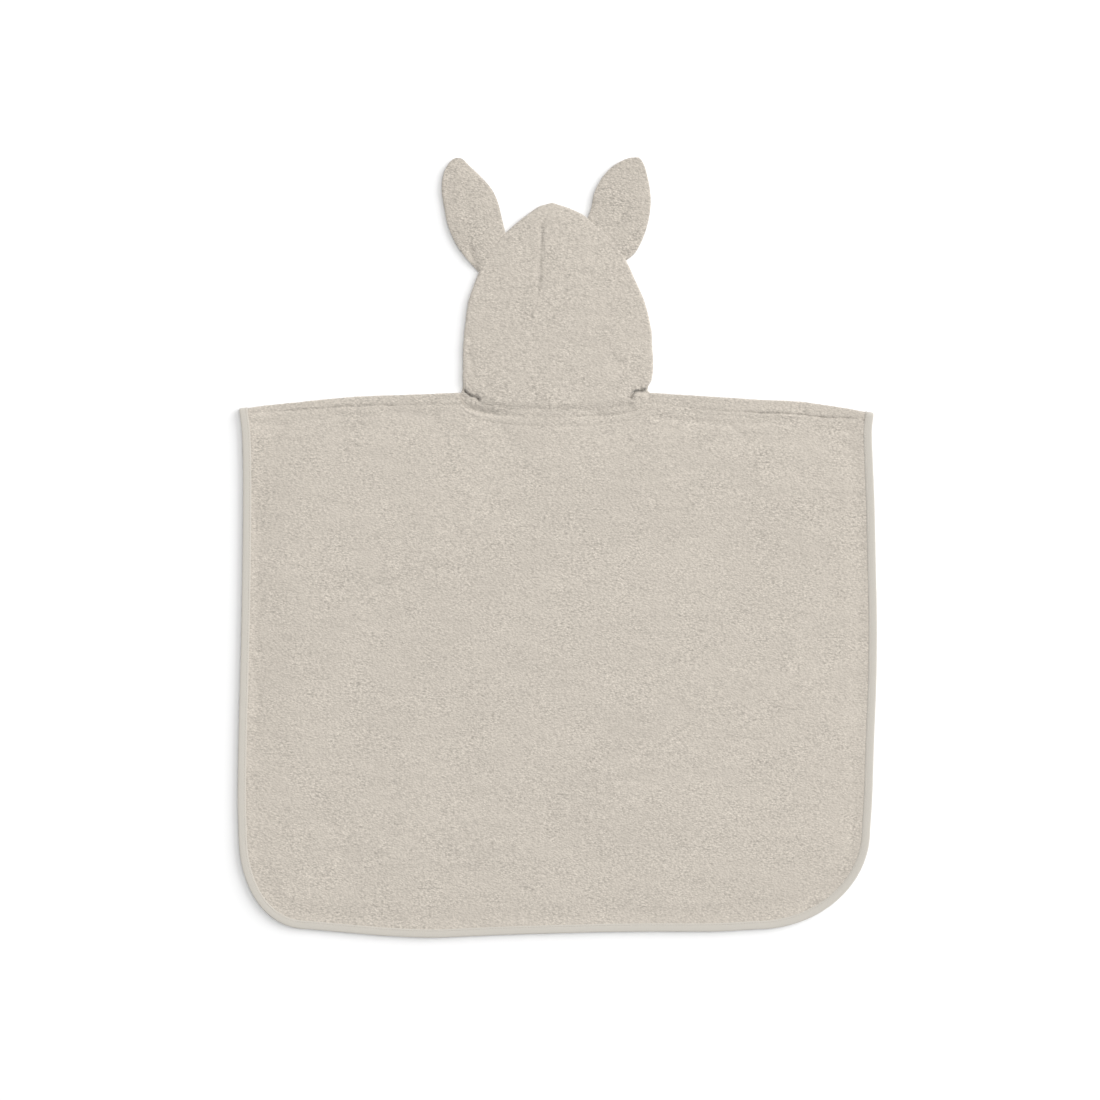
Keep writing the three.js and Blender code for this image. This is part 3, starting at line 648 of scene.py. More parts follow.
def lower_line(front):
    """Lower outline from the left side round both corners to the right."""
    top = SHOULDER_Y - CORNER_DOWN
    angle = np.linspace(0, math.pi / 2, CURVE_POINTS["corner"])

    def quarter(side):
        power = 2 / CORNER_FULLNESS[side]
        middle = HEM["x"][0] if side == "left" else HEM["x"][-1]
        out, down = np.cos(angle) ** power, np.sin(angle) ** power
        bottom = HEM_Y - sag(middle) + front
        return np.stack([mix(middle, side_x(side, top, 0, front), out), mix(top, bottom, down)], 1)

    x = np.linspace(HEM["x"][0], HEM["x"][-1], CURVE_POINTS["hem"])[1:-1]
    hem = np.stack([x, HEM_Y - sag(x) + front], 1)
    return np.vstack([quarter("left"), hem, quarter("right")[::-1]])


def bound_edge(front):
    """Bound edge of a panel, from the left shoulder along the hem to the right one."""
    def side(name, end):
        start = fold_y(SHOULDERS["x"][end]) - FOLD_RADIUS
        y = np.linspace(start, SHOULDER_Y - CORNER_DOWN, CURVE_POINTS["side"])[:-1]
        return np.stack([side_x(name, y, 0, front), y], 1)

    return np.vstack([side("left", 0), lower_line(front), side("right", -1)[::-1]])


BACK_EDGE = bound_edge(0)
FRONT_EDGE = bound_edge(FRONT_INSET)


def coarse_line(line):
    return resampled(line, SPACING["coarse"])


def lift(inside):
    return 1 - smoothstep(inside, EDGE_FLAT, EDGE_FADE)


def neck_point(neck, side, share, out):
    """Neckline points of one side: share 0 is the centre, 1 the corner."""
    sign = SIGNS[side]
    start = sign * (neck["centre"] - NECK["x"]) / NECK["half"]
    across = start + (1 - start) * np.sin(share * math.pi / 2)
    down = np.maximum(0, 1 - np.abs(across) ** neck["fullness"]) ** (1 / neck["fullness"])
    x = NECK["x"] + sign * (NECK["half"] + out) * across
    return np.stack([x, NECK["top"] - (neck["depth"] + out) * down], -1)


def neck_line(depth, fullness, half):
    """A neckline as a line of points from corner to corner."""
    angle = np.linspace(0, math.pi, CURVE_POINTS["neck"])
    x = NECK["x"] - half * np.sign(np.cos(angle)) * np.abs(np.cos(angle)) ** (2 / fullness)
    return np.stack([x, NECK["top"] - depth * np.sin(angle) ** (2 / fullness)], 1)


BACK_NECK_LINE = neck_line(BACK_NECK["depth"], BACK_NECK["fullness"], NECK["half"])
BACK_NECK_LINE = resampled(BACK_NECK_LINE, SPACING["neck"])
NECK_STITCH_LINE = coarse_line(neck_line(**NECK_STITCH))


# Body panels

def neck_share(neck, side, x):
    """Share of a neckline's half width at which it passes this x."""
    sign = SIGNS[side]
    start = sign * (neck["centre"] - NECK["x"]) / NECK["half"]
    across = sign * (x - NECK["x"]) / (NECK["half"] + SEAM_HALF)
    return math.asin((across - start) / (1 - start)) * 2 / math.pi


def neck_x(side, y):
    """Where the back's neckline passes this y."""
    sign = SIGNS[side]
    down = np.clip((NECK["top"] - y) / (BACK_NECK["depth"] + SEAM_HALF), 0, 1)
    across = (1 - down ** BACK_NECK["fullness"]) ** (1 / BACK_NECK["fullness"])
    return NECK["x"] + sign * (NECK["half"] + SEAM_HALF) * across


def panel_columns(top_of, corners, neck, first, front):
    """Top and hem points of each column of a panel, and its share of the width."""
    lower = moved(lower_line(front), EDGE_INSET)
    start, end = lower[0, 0], lower[-1, 0]
    k = np.linspace(0, 1, SHOULDER_CELLS + 1)
    tops, shares = [], []
    for side, tip in (("left", 0), ("right", -1)):
        outer = side_x(side, top_of(SHOULDERS["x"][tip]), EDGE_INSET, front)
        x = mix(outer, corners[side][0], k)
        top = np.stack([x, top_of(x)], 1)
        top[-1] = corners[side]
        tops.append(top)
        shares.append(mix(0.0 if side == "left" else 1.0, (corners[side][0] - start) / (end - start), k))
    left, right = (np.linspace(first[side], 0, NECK_CELLS + 1)[1:] for side in SIGNS)
    middle = np.vstack([
        neck_point(neck, "left", left, SEAM_HALF),
        neck_point(neck, "right", right[:-1][::-1], SEAM_HALF),
    ])
    between = np.linspace(shares[0][-1], shares[1][-1], len(middle) + 2)[1:-1]
    top = np.vstack([tops[0], middle, tops[1][::-1]])
    share = np.r_[shares[0], between, shares[1][::-1]]
    x = mix(start, end, share)
    rising = np.maximum.accumulate(lower[:, 0])
    return top, np.stack([x, np.interp(x, rising, lower[:, 1])], 1), share


def panel_grid(columns, rows, front):
    """Plan positions of a panel's grid, one row of the result for each column."""
    top, hem, share = columns
    grid = mix(hem[:, None], top[:, None], rows[None, :, None])
    for side, end, weight in (("left", 0, 1 - share), ("right", -1, share)):
        straight = mix(hem[end], top[end], rows[:, None])
        bend = side_x(side, straight[:, 1], EDGE_INSET, front) - straight[:, 0]
        grid[..., 0] += weight[:, None] * bend[None]
    return grid


def neck_lump(x, y):
    across = 1 - smoothstep(np.abs(x - NECK_LUMP["x"]), NECK_LUMP["flat"], NECK_LUMP["end"])
    above = 1 - smoothstep(y, NECK_LUMP["fall"], NECK_LUMP["to"])
    return NECK_LUMP["rise"] * across * above * smoothstep(y, NECK_LUMP["start"], NECK_LUMP["full"])


def rolled(away, x, y, depth, width):
    """How far cloth sinks into a seam this far away, unevenly along it."""
    uneven = 1 + 0.55 * noise(x, y, 7, 11) + 0.45 * noise(x, y, 2.9, 17)
    return depth * uneven * bell(away, width)


def creased(x, y):
    """Height and painted shade of the two sharp creases, with small lumps beside them."""
    height, painted_shade = np.zeros(np.shape(x)), np.zeros(np.shape(x))
    for rows in CREASES:
        away = distance(np.stack([rows["x"], rows["y"]], 1), x, y)
        away = away + CREASE["sway"] * noise(x, y, 2.1, 16)
        core = (1 + CREASE["uneven"] * noise(x, y, 2.3, 12)) * bell(away, CREASE["width"])
        beside = bell(away - CREASE_LUMPS["away"], CREASE_LUMPS["width"])
        height -= CREASE["depth"] * core
        height += CREASE_LUMPS["rise"] * noise(x, y, 2.6, 13) * beside
        painted_shade += CREASE["painted_shade"] * core
    return height, painted_shade


def seam_sway(x):
    """How far the deepest line of a shoulder seam strays from the seam."""
    return SEAM_SWAY * noise(x, np.zeros(np.shape(x)), 13, 15)


neck_depth = through(NECK_DEPTHS, "x", "depth")
shoulder_depth = through(SHOULDER_DEPTHS, "x", "depth")


def neck_ridge(away, x):
    """Soft ridge of cloth beside the neck seam, higher where the seam is deep."""
    near = bell(away - NECK_RIDGE["away"], NECK_RIDGE["width"])
    return NECK_RIDGE["rise"] * np.minimum(neck_depth(x), 1) * near


def ripples(x, y, away):
    """Small ridges that run along the neckline near its corners."""
    total = np.zeros(np.broadcast(x, y).shape)
    for cx, cy, rise, pitch, reach in zip(*RIPPLES.values()):
        near = np.exp(-(((x - cx) ** 2 + (y - cy) ** 2) / reach ** 2))
        total += rise * near * np.cos(2 * math.pi * away / pitch + noise(x, y, 6, 14))
    return total


def squared(turn, power):
    """Cosine and sine of a fold's turn, pushed out towards a squarer fold."""
    return (np.sign(value) * np.abs(value) ** power for value in (np.cos(turn), np.sin(turn)))


def back_panel():
    corners, first = {}, {}
    for side in SIGNS:
        y = seam_y(NECK[side]) - SEAM_HALF
        corners[side] = np.array([neck_x(side, y), y])
        first[side] = neck_share(BACK_NECK, side, corners[side][0])
    columns = panel_columns(lambda x: seam_y(x) - SEAM_HALF, corners, BACK_NECK, first, 0)
    grid = panel_grid(columns, 1 - np.linspace(1, 0, BACK_CELLS + 1) ** BACK_CROWD, 0)
    x, y = grid[..., 0], grid[..., 1]
    from_top = columns[0][:, None, 1] - y
    inside = distance(coarse_line(BACK_EDGE), x, y)
    fade = smoothstep(inside, 0, PUFF["side"]) * smoothstep(from_top, 0, PUFF["top"])
    soft = np.maximum(0, PUFF["rise"] + relief(BACK_SWELLS, x, y)) * fade
    low = mix(BACK_LOW + np.maximum(soft, neck_lump(x, y)), BACK_EDGE_LOW, lift(inside))
    high = low + mix(CLOTH, PRESSED, lift(inside))
    to_neck = distance(BACK_NECK_LINE, x, y)
    seam = np.minimum(from_top, to_neck)
    to_stitches = distance(NECK_STITCH_LINE, x, y)
    right_seam = smoothstep(x, RIGHT_SEAM["start"], RIGHT_SEAM["full"])
    right_seam *= 1 - smoothstep(x, RIGHT_SEAM["fall"], RIGHT_SEAM["end"])
    free = smoothstep(inside, TAPE_WIDTH - 1, TAPE_WIDTH + 4)
    high += relief(BACK_TROUGHS, x, y) * free
    shoulder_seam = rolled(from_top + seam_sway(x), x, y, shoulder_depth(x), SEAM_WIDTHS["shoulder"])
    shoulder_seam *= smoothstep(to_neck, 0, 6)
    high -= shoulder_seam
    high += ripples(x, y, to_neck)
    high -= rolled(to_neck, x, y, neck_depth(x), SEAM_WIDTHS["neck"])
    stitched = rolled(to_stitches, x, y, STITCHED["depth"], SEAM_WIDTHS["stitch"])
    high -= stitched * smoothstep(seam, STITCHED["start"], STITCHED["full"])
    high -= RIGHT_SEAM["depth"] * right_seam * bell(from_top - RIGHT_SEAM["away"], RIGHT_SEAM["width"])
    high += neck_ridge(seam, x) * free
    high += TAPE_RIDGE["rise"] * bell(inside - TAPE_WIDTH - TAPE_RIDGE["away"], TAPE_RIDGE["width"])
    high += (nub(x, y) + 0.25 * noise(x, y, 38, 21)) * free
    low = np.minimum(low, high - LEAST_WALL)
    outer = np.stack([x, y, high], -1)
    inner = np.stack([x, y, low], -1)[::STEP, ::STEP]
    # The back's painted shade: in the shoulder seams and the folds round the neck
    return shell(outer, inner, SEAM_PAINTED_SHADE * shoulder_seam + relief(PAINTED_SHADES, x, y))


def front_panel():
    def from_end(x):
        return np.minimum(x - BACK_EDGE[0, 0], BACK_EDGE[-1, 0] - x)

    def radius(x):
        return mix(CLOTH + GAP / 2, FOLD_RADIUS, lift(from_end(x)))

    def below_fold(x):
        return fold_y(x) - radius(x)

    corners = {side: np.array([NECK[side], below_fold(NECK[side])]) for side in SIGNS}
    first = {"left": 1, "right": 1}
    columns = panel_columns(below_fold, corners, FRONT_NECK, first, FRONT_INSET)
    grid = panel_grid(columns, np.linspace(0, 1, FRONT_CELLS + 1) ** FRONT_CROWD, FRONT_INSET)
    x, y = grid[..., 0], grid[..., 1]
    held = lift(distance(coarse_line(FRONT_EDGE), x, y))
    low, thick = FRONT_EDGE_LOW * held, mix(CLOTH, PRESSED, held)
    outer = np.stack([x, y, underside(x, y, held)], -1)
    inner = np.stack([x, y, low + thick], -1)
    top = columns[0]
    tx, ty = top[:, 0, None], top[:, 1, None]
    out = radius(tx)
    centre = low[:, -1:] + out
    turn = np.r_[np.linspace(-0.5, 0.5, FOLD_CELLS + 1)[1:], np.full(STRAP_CELLS, 0.5)] * math.pi
    back = np.r_[np.zeros(FOLD_CELLS), np.linspace(0, 1, STRAP_CELLS + 1)[1:]]
    strap = back * (ty - seam_y(tx) - SEAM_HALF)
    to_seam = (1 - back) * (ty - seam_y(tx)) + np.where(back > 0, 0, FOLD_CLEAR)
    free = smoothstep(from_end(tx), TAPE_WIDTH - 1, TAPE_WIDTH + 3)
    pile = fold_nub(tx, ty - strap, turn) * free * smoothstep(turn, -1.2, -0.4)
    reach = out + pile
    away = to_seam - seam_sway(tx)
    sunk = rolled(away, tx, ty - strap, shoulder_depth(tx), SEAM_WIDTHS["shoulder"])
    # Painted shade in the shoulder seam, on the fold's part of the grid only
    painted_shade = np.concatenate([np.zeros(x.shape), SEAM_PAINTED_SHADE * sunk], 1)
    to_neck = np.minimum(np.abs(tx - NECK["left"]), np.abs(tx - NECK["right"]))
    sunk -= ripples(tx, ty - strap, to_neck) * (turn > 0)
    over, rise = squared(turn, mix(1, FOLD_SQUARE, free))
    along = np.broadcast_to(tx, strap.shape).copy()
    for side in SIGNS:
        near = 1 - smoothstep(np.abs(tx - NECK[side]), 0, NECK_REACH)
        along += near * (neck_x(side, ty - strap) - NECK[side]) * (turn > 0)
    fold_outer = np.stack([along, ty - strap + reach * over, centre + reach * rise - sunk], -1)
    reach = out - thick[:, -1:]
    inner_z = centre + reach * rise - INNER_SHARE * sunk
    fold_inner = np.stack([along, ty - strap + reach * over, inner_z], -1)
    outer = np.concatenate([outer, fold_outer], 1)
    inner = np.concatenate([inner, fold_inner], 1)[::STEP, ::STEP]
    present = np.ones((inner.shape[0] - 1, inner.shape[1] - 1), bool)
    shoulder, sheet = SHOULDER_CELLS // STEP, FRONT_CELLS // STEP
    present[shoulder:-shoulder, sheet:] = False
    return shell(outer, inner, painted_shade, present)


# Hood

seam_x = through(HOOD_SEAM, "y", "x")
crown_x, crown_depth = through(CROWN, "y", "x"), through(CROWN, "y", "depth")


def face_half(y):
    share = np.clip((y - FACE["bottom"]) / FACE["height"], 0, 1)
    return (FACE["half"] + FACE["spread"] * share) * np.sqrt(1 - share ** 4)


def face_line(start):
    """Outline of the face opening, from the left end of the neck over the top to the right end."""
    first = math.asin(start / FACE["height"])
    angle = np.linspace(first, math.pi - first, CURVE_POINTS["face"])
    up = np.sin(angle)
    half = (FACE["half"] + FACE["spread"] * up) * np.cos(angle) * np.sqrt(1 + up * up)
    return np.stack([FACE["x"] - half, FACE["bottom"] + FACE["height"] * up], 1)


def hood_edge(side):
    """Silhouette of a hood half, from the neck up to the top."""
    points = np.stack([HOOD_EDGE[side], SHOULDER_Y + HOOD_EDGE["up"]], 1)
    top = [[HOOD_TOP["x"] + SIGNS[side] * SEAM_HALF, SHOULDER_Y + HOOD_TOP["up"]]]
    return spline(np.vstack([points, top]), SPACING["fine"])


def hood_loft(share, from_neck, from_top):
    rise = smoothstep(from_neck, 0, HOOD_LOFT["start"])
    fall = mix(HOOD_LOFT["least"], 1, smoothstep(from_top, 0, HOOD_LOFT["end"]))
    return (HOOD_LOFT["edge"] + HOOD_LOFT["middle"] * (1 - share * share)) * rise * fall


def hood_panel(side):
    sign = SIGNS[side]
    edge = hood_edge(side)
    q = np.linspace(0, 1, HOOD_ROWS + 1) ** HOOD_CROWD["rows"]
    place = q * (len(edge) - 1)
    tangent = unit(np.gradient(edge, axis=0))
    silhouette, tangent = picked(edge, place), picked(tangent, place)
    outward = np.stack([sign * tangent[:, 1], -sign * tangent[:, 0]], 1)
    outward[[0, -1]] = (0, 1)
    length = SPACING["fine"] * (len(edge) - 1)
    from_neck, from_top = q * length, (1 - q) * length
    seam = mix(SEAM_BOTTOM, SEAM_TOP, (silhouette[:, 1] - SHOULDER_Y) / HOOD_TOP["up"])
    upper_seam = np.stack([seam_x(seam) + sign * SEAM_HALF, seam], 1)
    lower_x = mix(FACE["x"], HOOD_TOP["x"], smoothstep(seam, FACE["bottom"] + FACE["height"], SEAM_TOP))
    lower_seam = np.stack([lower_x + sign * SEAM_HALF, seam], 1)
    radius = (BACK_LOW + hood_loft(1, from_neck, from_top) + CLOTH) / 2
    centre = silhouette - outward * radius[:, None]
    pull = 1 - smoothstep(q, 0, NECK_PULL)

    def pulled(middle, neck, share):
        point = mix(middle[None], centre[None], share[..., None])
        base = mix(middle[0], centre[0], share[..., None])
        target = neck_point(neck, side, share, -SEAM_HALF)
        stay = np.where(share == 1, 0, 1)
        return point + ((target - base) * (stay * pull)[..., None])

    crowded = 1 - np.linspace(1, 0, HOOD_UPPER + 1) ** HOOD_CROWD["across"]
    share = crowded[:, None] * np.ones(len(q))
    upper = pulled(upper_seam, BACK_NECK, share)
    x, y = upper[..., 0], upper[..., 1]
    loft = hood_loft(share, from_neck, from_top)
    least = np.minimum(HOOD_LOFT["dip"], loft)
    soft = np.maximum(loft + relief(HOOD_SWELLS, x, y) * (1 - share ** 8), least)
    low = BACK_LOW + np.maximum(soft, neck_lump(x, y))
    to_neck = distance(BACK_NECK_LINE, x, y)
    to_seam = np.abs(x - seam_x(y))
    crease, painted_shade = creased(x, y)
    high = low + CLOTH + relief(HOOD_TROUGHS, x, y) + crease
    high -= rolled(to_neck, x, y, neck_depth(x), SEAM_WIDTHS["neck"])
    high += neck_ridge(to_neck, x)
    seam_depth = CENTRE_SEAM["depth"] * (1 - smoothstep(y, CENTRE_SEAM["fall"], CENTRE_SEAM["to"]))
    high -= rolled(to_seam, x, y, seam_depth, SEAM_WIDTHS["centre"])
    off = x - crown_x(y)
    crown_width = np.where(off > 0, CROWN_LINE["steep"], CROWN_LINE["soft"])
    crown = rolled(off, x, y, crown_depth(y), crown_width)
    high -= crown
    # Painted shade in the creases, the folds round the neck and the crown line
    painted_shade += relief(PAINTED_SHADES, x, y) + CROWN_LINE["painted_shade"] * crown * bell(off, CROWN_LINE["steep"])
    high += nub(x, y) + 0.3 * noise(x, y, 34, 41)
    upper_outer = np.stack([x, y, np.maximum(high, HOOD_LEAST)], -1)
    upper_inner = np.stack([x, y, np.minimum(low, upper_outer[..., 2] - LEAST_WALL)], -1)

    turn = (0.5 - np.linspace(0, 1, HOOD_FOLD + 1)[1:-1, None]) * math.pi
    over, rise = squared(turn, HOOD_SQUARE)
    down = (2 * radius - upper_outer[-1, :, 2]) * ((1 + np.sin(turn)) / 2) ** 2
    pile = fold_nub(silhouette[:, 0], silhouette[:, 1], turn)

    def fold(reach, drop):
        flat = centre + outward * (reach * over)[..., None]
        return np.dstack([flat, np.maximum(radius + reach * rise - drop, 0)])

    share = np.linspace(0, 1, CURVE_POINTS["underneath"])[:, None] * np.ones(len(q))
    sample = pulled(lower_seam, FRONT_NECK, share)
    open_now = np.abs(sample[..., 0] - FACE["x"]) < face_half(sample[..., 1]) + EDGE_INSET
    open_now &= sample[..., 1] < FACE["bottom"] + FACE["height"] + EDGE_INSET
    first = np.max(np.where(open_now, share, 0), 0)
    share = mix(1.0, first[None], np.linspace(0, 1, HOOD_LOWER + 1)[:, None])
    lower = pulled(lower_seam, FRONT_NECK, share)
    x, y = lower[..., 0], lower[..., 1]
    face = coarse_line(face_line(0))
    held = 1 - smoothstep(distance(face, x, y), FACE_LIFT["flat"], FACE_LIFT["fade"])
    held[0] = 0
    lower_outer = np.stack([x, y, underside(x, y, held)], -1)
    lower_inner = np.stack([x, y, FRONT_EDGE_LOW * held + mix(CLOTH, PRESSED, held)], -1)
    outer = np.concatenate([upper_outer, fold(radius + pile, down), lower_outer])
    inner = np.concatenate([upper_inner, fold(radius - CLOTH, 0), lower_inner])[::STEP, ::STEP]
    rest = np.zeros((len(outer) - len(painted_shade), len(q)))
    return shell(outer, inner, np.concatenate([painted_shade, rest]))


# Ears

def ear_walls(side):
    """Both walls of an ear: its base on the hood's edge, rounded rims and a soft crown."""
    ear = EARS[side]
    turn = math.radians(ear["turn"])
    along = np.array([-math.sin(turn), math.cos(turn)])
    across = np.array([math.cos(turn), math.sin(turn)])
    root = np.array([ear["x"], ear["y"]])
    edge = moved(hood_edge(side), SIGNS[side] * EAR_TUCK)
    base = edge[(edge[:, 1] >= ear["low"]) & (edge[:, 1] <= ear["high"])][::3]
    if side == "right":
        base = base[::-1]

    def side_line(rows, foot):
        points = root + rows["along"][:, None] * along + rows["across"][:, None] * across
        return spline(np.vstack([foot[None], points]), SPACING["fine"])

    left = side_line(EAR_SIDES[side, "left"], base[0])
    right = side_line(EAR_SIDES[side, "right"], base[-1])
    outline = np.vstack([left, right[::-1]])
    u = np.linspace(0, 1, EAR_CELLS["across"] + 1)
    v = np.linspace(0, 1, EAR_CELLS["along"] + 1)

    bottom = picked(base, u * (len(base) - 1))
    l, r = (picked(line, v * (len(line) - 1)) for line in (left, right))
    tip = mix(l[-1], r[-1], u[:, None])
    grid = mix(bottom[:, None], tip[:, None], v[None, :, None])
    grid += (1 - u)[:, None, None] * (l - mix(l[0], l[-1], v[:, None]))[None]
    grid += u[:, None, None] * (r - mix(r[0], r[-1], v[:, None]))[None]
    x, y = grid[..., 0], grid[..., 1]
    inside = distance(resampled(outline, SPACING["ear"]), x, y)
    crown = EAR_CROWN["rise"] * smoothstep(inside, 0, EAR_CROWN["inside"])
    crown *= mix(EAR_CROWN["at_base"], 1, smoothstep(distance(base, x, y), 0, EAR_CROWN["from_base"]))
    outside = 1 - np.clip(inside / EAR_RIM["width"], 0, 1)
    rim = EAR_RIM["depth"] * (1 - (1 - outside ** EAR_RIM["fullness"]) ** (1 / EAR_RIM["fullness"]))
    middle = EAR_WALL + GAP / 2
    high = 2 * EAR_WALL + GAP + crown - rim + relief(EAR_TROUGHS, x, y)
    high += nub(x, y) * smoothstep(inside, 0, 2) + 0.2 * noise(x, y, 22, 51)
    high = np.maximum(high, middle + EAR_LEAST)
    low = np.minimum(rim, middle - EAR_LEAST)
    low += 0.15 * (1 + noise(x, y, 5, 52)) * smoothstep(inside, 0, 3)

    def wall(height, split):
        inner = np.stack([x, y, np.full_like(x, split)], -1)
        return shell(np.stack([x, y, height], -1), inner[::STEP, ::STEP])

    return wall(high, middle + EAR_SPLIT), wall(low, middle - EAR_SPLIT)


# Bindings and stitches

# Section of a binding: how far in from the cloth's edge, and how far up from its middle
TAPE_PROFILE = np.array([
    (9.2, 1.2), (9, 1.42), (8.3, 1.56), (7.6, 1.52), (6.9, 1.68), (5.6, 1.84), (3.6, 1.94), (1.9, 1.95),
    (0.9, 1.86), (0.3, 1.5), (0, 0.7), (0, -0.7), (0.3, -1.5), (0.9, -1.86), (1.9, -1.98), (3.6, -2.0),
    (5.9, -1.93), (7.1, -1.72), (7.6, -1.62), (8.1, -1.72), (8.8, -1.78), (9.2, -1.55), (9.1, -1),
    (2, -1), (1, 0), (2, 1), (9.1, 1),
])
STITCH = {"in": 7.6, "up": 1.68, "length": 2.3, "gauge": 0.32}
UP = np.array([0, 0, 1.0])


def stations_along(line, z, sign):
    """Stations along a line of points, gripping the cloth to its left."""
    along = unit(np.gradient(line, axis=0))
    inward = np.stack([-along[:, 1], along[:, 0], np.zeros(len(line))], 1)
    for end in (0, -1):
        inward[end] = (-np.sign(along[end, 1]), 0, 0)
    places = np.column_stack([line, np.full(len(line), z)])
    return places, inward, np.tile(sign * UP, (len(line), 1))


def stations_over(end):
    """Stations over a shoulder fold, from the back to the front, sloping with the fold."""
    point = BACK_EDGE[end]
    inner = point[0] - math.copysign(TAPE_WIDTH, point[0])
    inward = np.array([inner - point[0], fold_y(inner) - fold_y(point[0]), 0])
    turn = math.pi * (0.5 - np.linspace(0, 1, 9)[1:-1])
    up = np.stack([np.zeros(len(turn)), np.cos(turn), np.sin(turn)], 1)
    centre = np.array([*point, FOLD_CENTRE])
    places = centre + (FOLD_CENTRE - FRONT_EDGE_Z) * up
    return places, np.tile(inward / np.linalg.norm(inward), (len(turn), 1)), up


def edge_stations():
    """Stations along the back's edge, over the right shoulder, along the front's and over the left."""
    back_line, front_line = (resampled(line, SPACING["station"]) for line in (BACK_EDGE, FRONT_EDGE))
    back = stations_along(back_line, BACK_EDGE_Z, 1)
    front = [part[::-1] for part in stations_along(front_line, FRONT_EDGE_Z, -1)]
    right = stations_over(-1)
    left = [part[::-1] for part in stations_over(0)]
    return [np.vstack(parts) for parts in zip(back, right, front, left)]


def stitches(places, alongs, ups):
    """Points and faces of short threads along a seam, in one mesh."""
    sides = np.cross(ups, alongs)
    shape = [(-0.5, 0, -0.6)]
    for share in (-0.34, 0.34):
        shape += [(share, 1, 0), (share, 0, 1), (share, -1, 0), (share, 0, -1)]
    shape.append((0.5, 0, -0.6))
    shape = np.array(shape) * (STITCH["length"], STITCH["gauge"], STITCH["gauge"])
    points = (places[:, None] + alongs[:, None] * shape[:, 0, None]
              + sides[:, None] * shape[:, 1, None] + ups[:, None] * shape[:, 2, None])
    faces = []
    for k in range(4):
        n = (k + 1) % 4
        faces += [[0, 1 + n, 1 + k], [9, 5 + k, 5 + n], [1 + k, 1 + n, 5 + n, 5 + k]]
    count = len(shape)
    joined = [[corner + count * s for corner in face] for s in range(len(places)) for face in faces]
    return points.reshape(-1, 3), joined


# Materials

def new_material(name):
    """A new material and its shader."""
    material = bpy.data.materials.new(name)
    material.use_nodes = True
    return material, material.node_tree.nodes["Principled BSDF"]


def fill(made, values):
    """Values on a node's own sockets."""
    for name, value in values.items():
        made.inputs[name].default_value = value


def colour_of(red, green, blue):
    """Linear colour of sRGB values from 0 to 255."""
    values = np.array([red, green, blue]) / 255
    return (*np.where(values <= 0.04045, values / 12.92, ((values + 0.055) / 1.055) ** 2.4), 1)


# Darkest and lightest tones of a cloth, as shares of its colour
TONES = (0.62, 1.3)


def scaled(colour, amount):
    return (*(min(1.0, channel * amount) for channel in colour[:3]), 1)


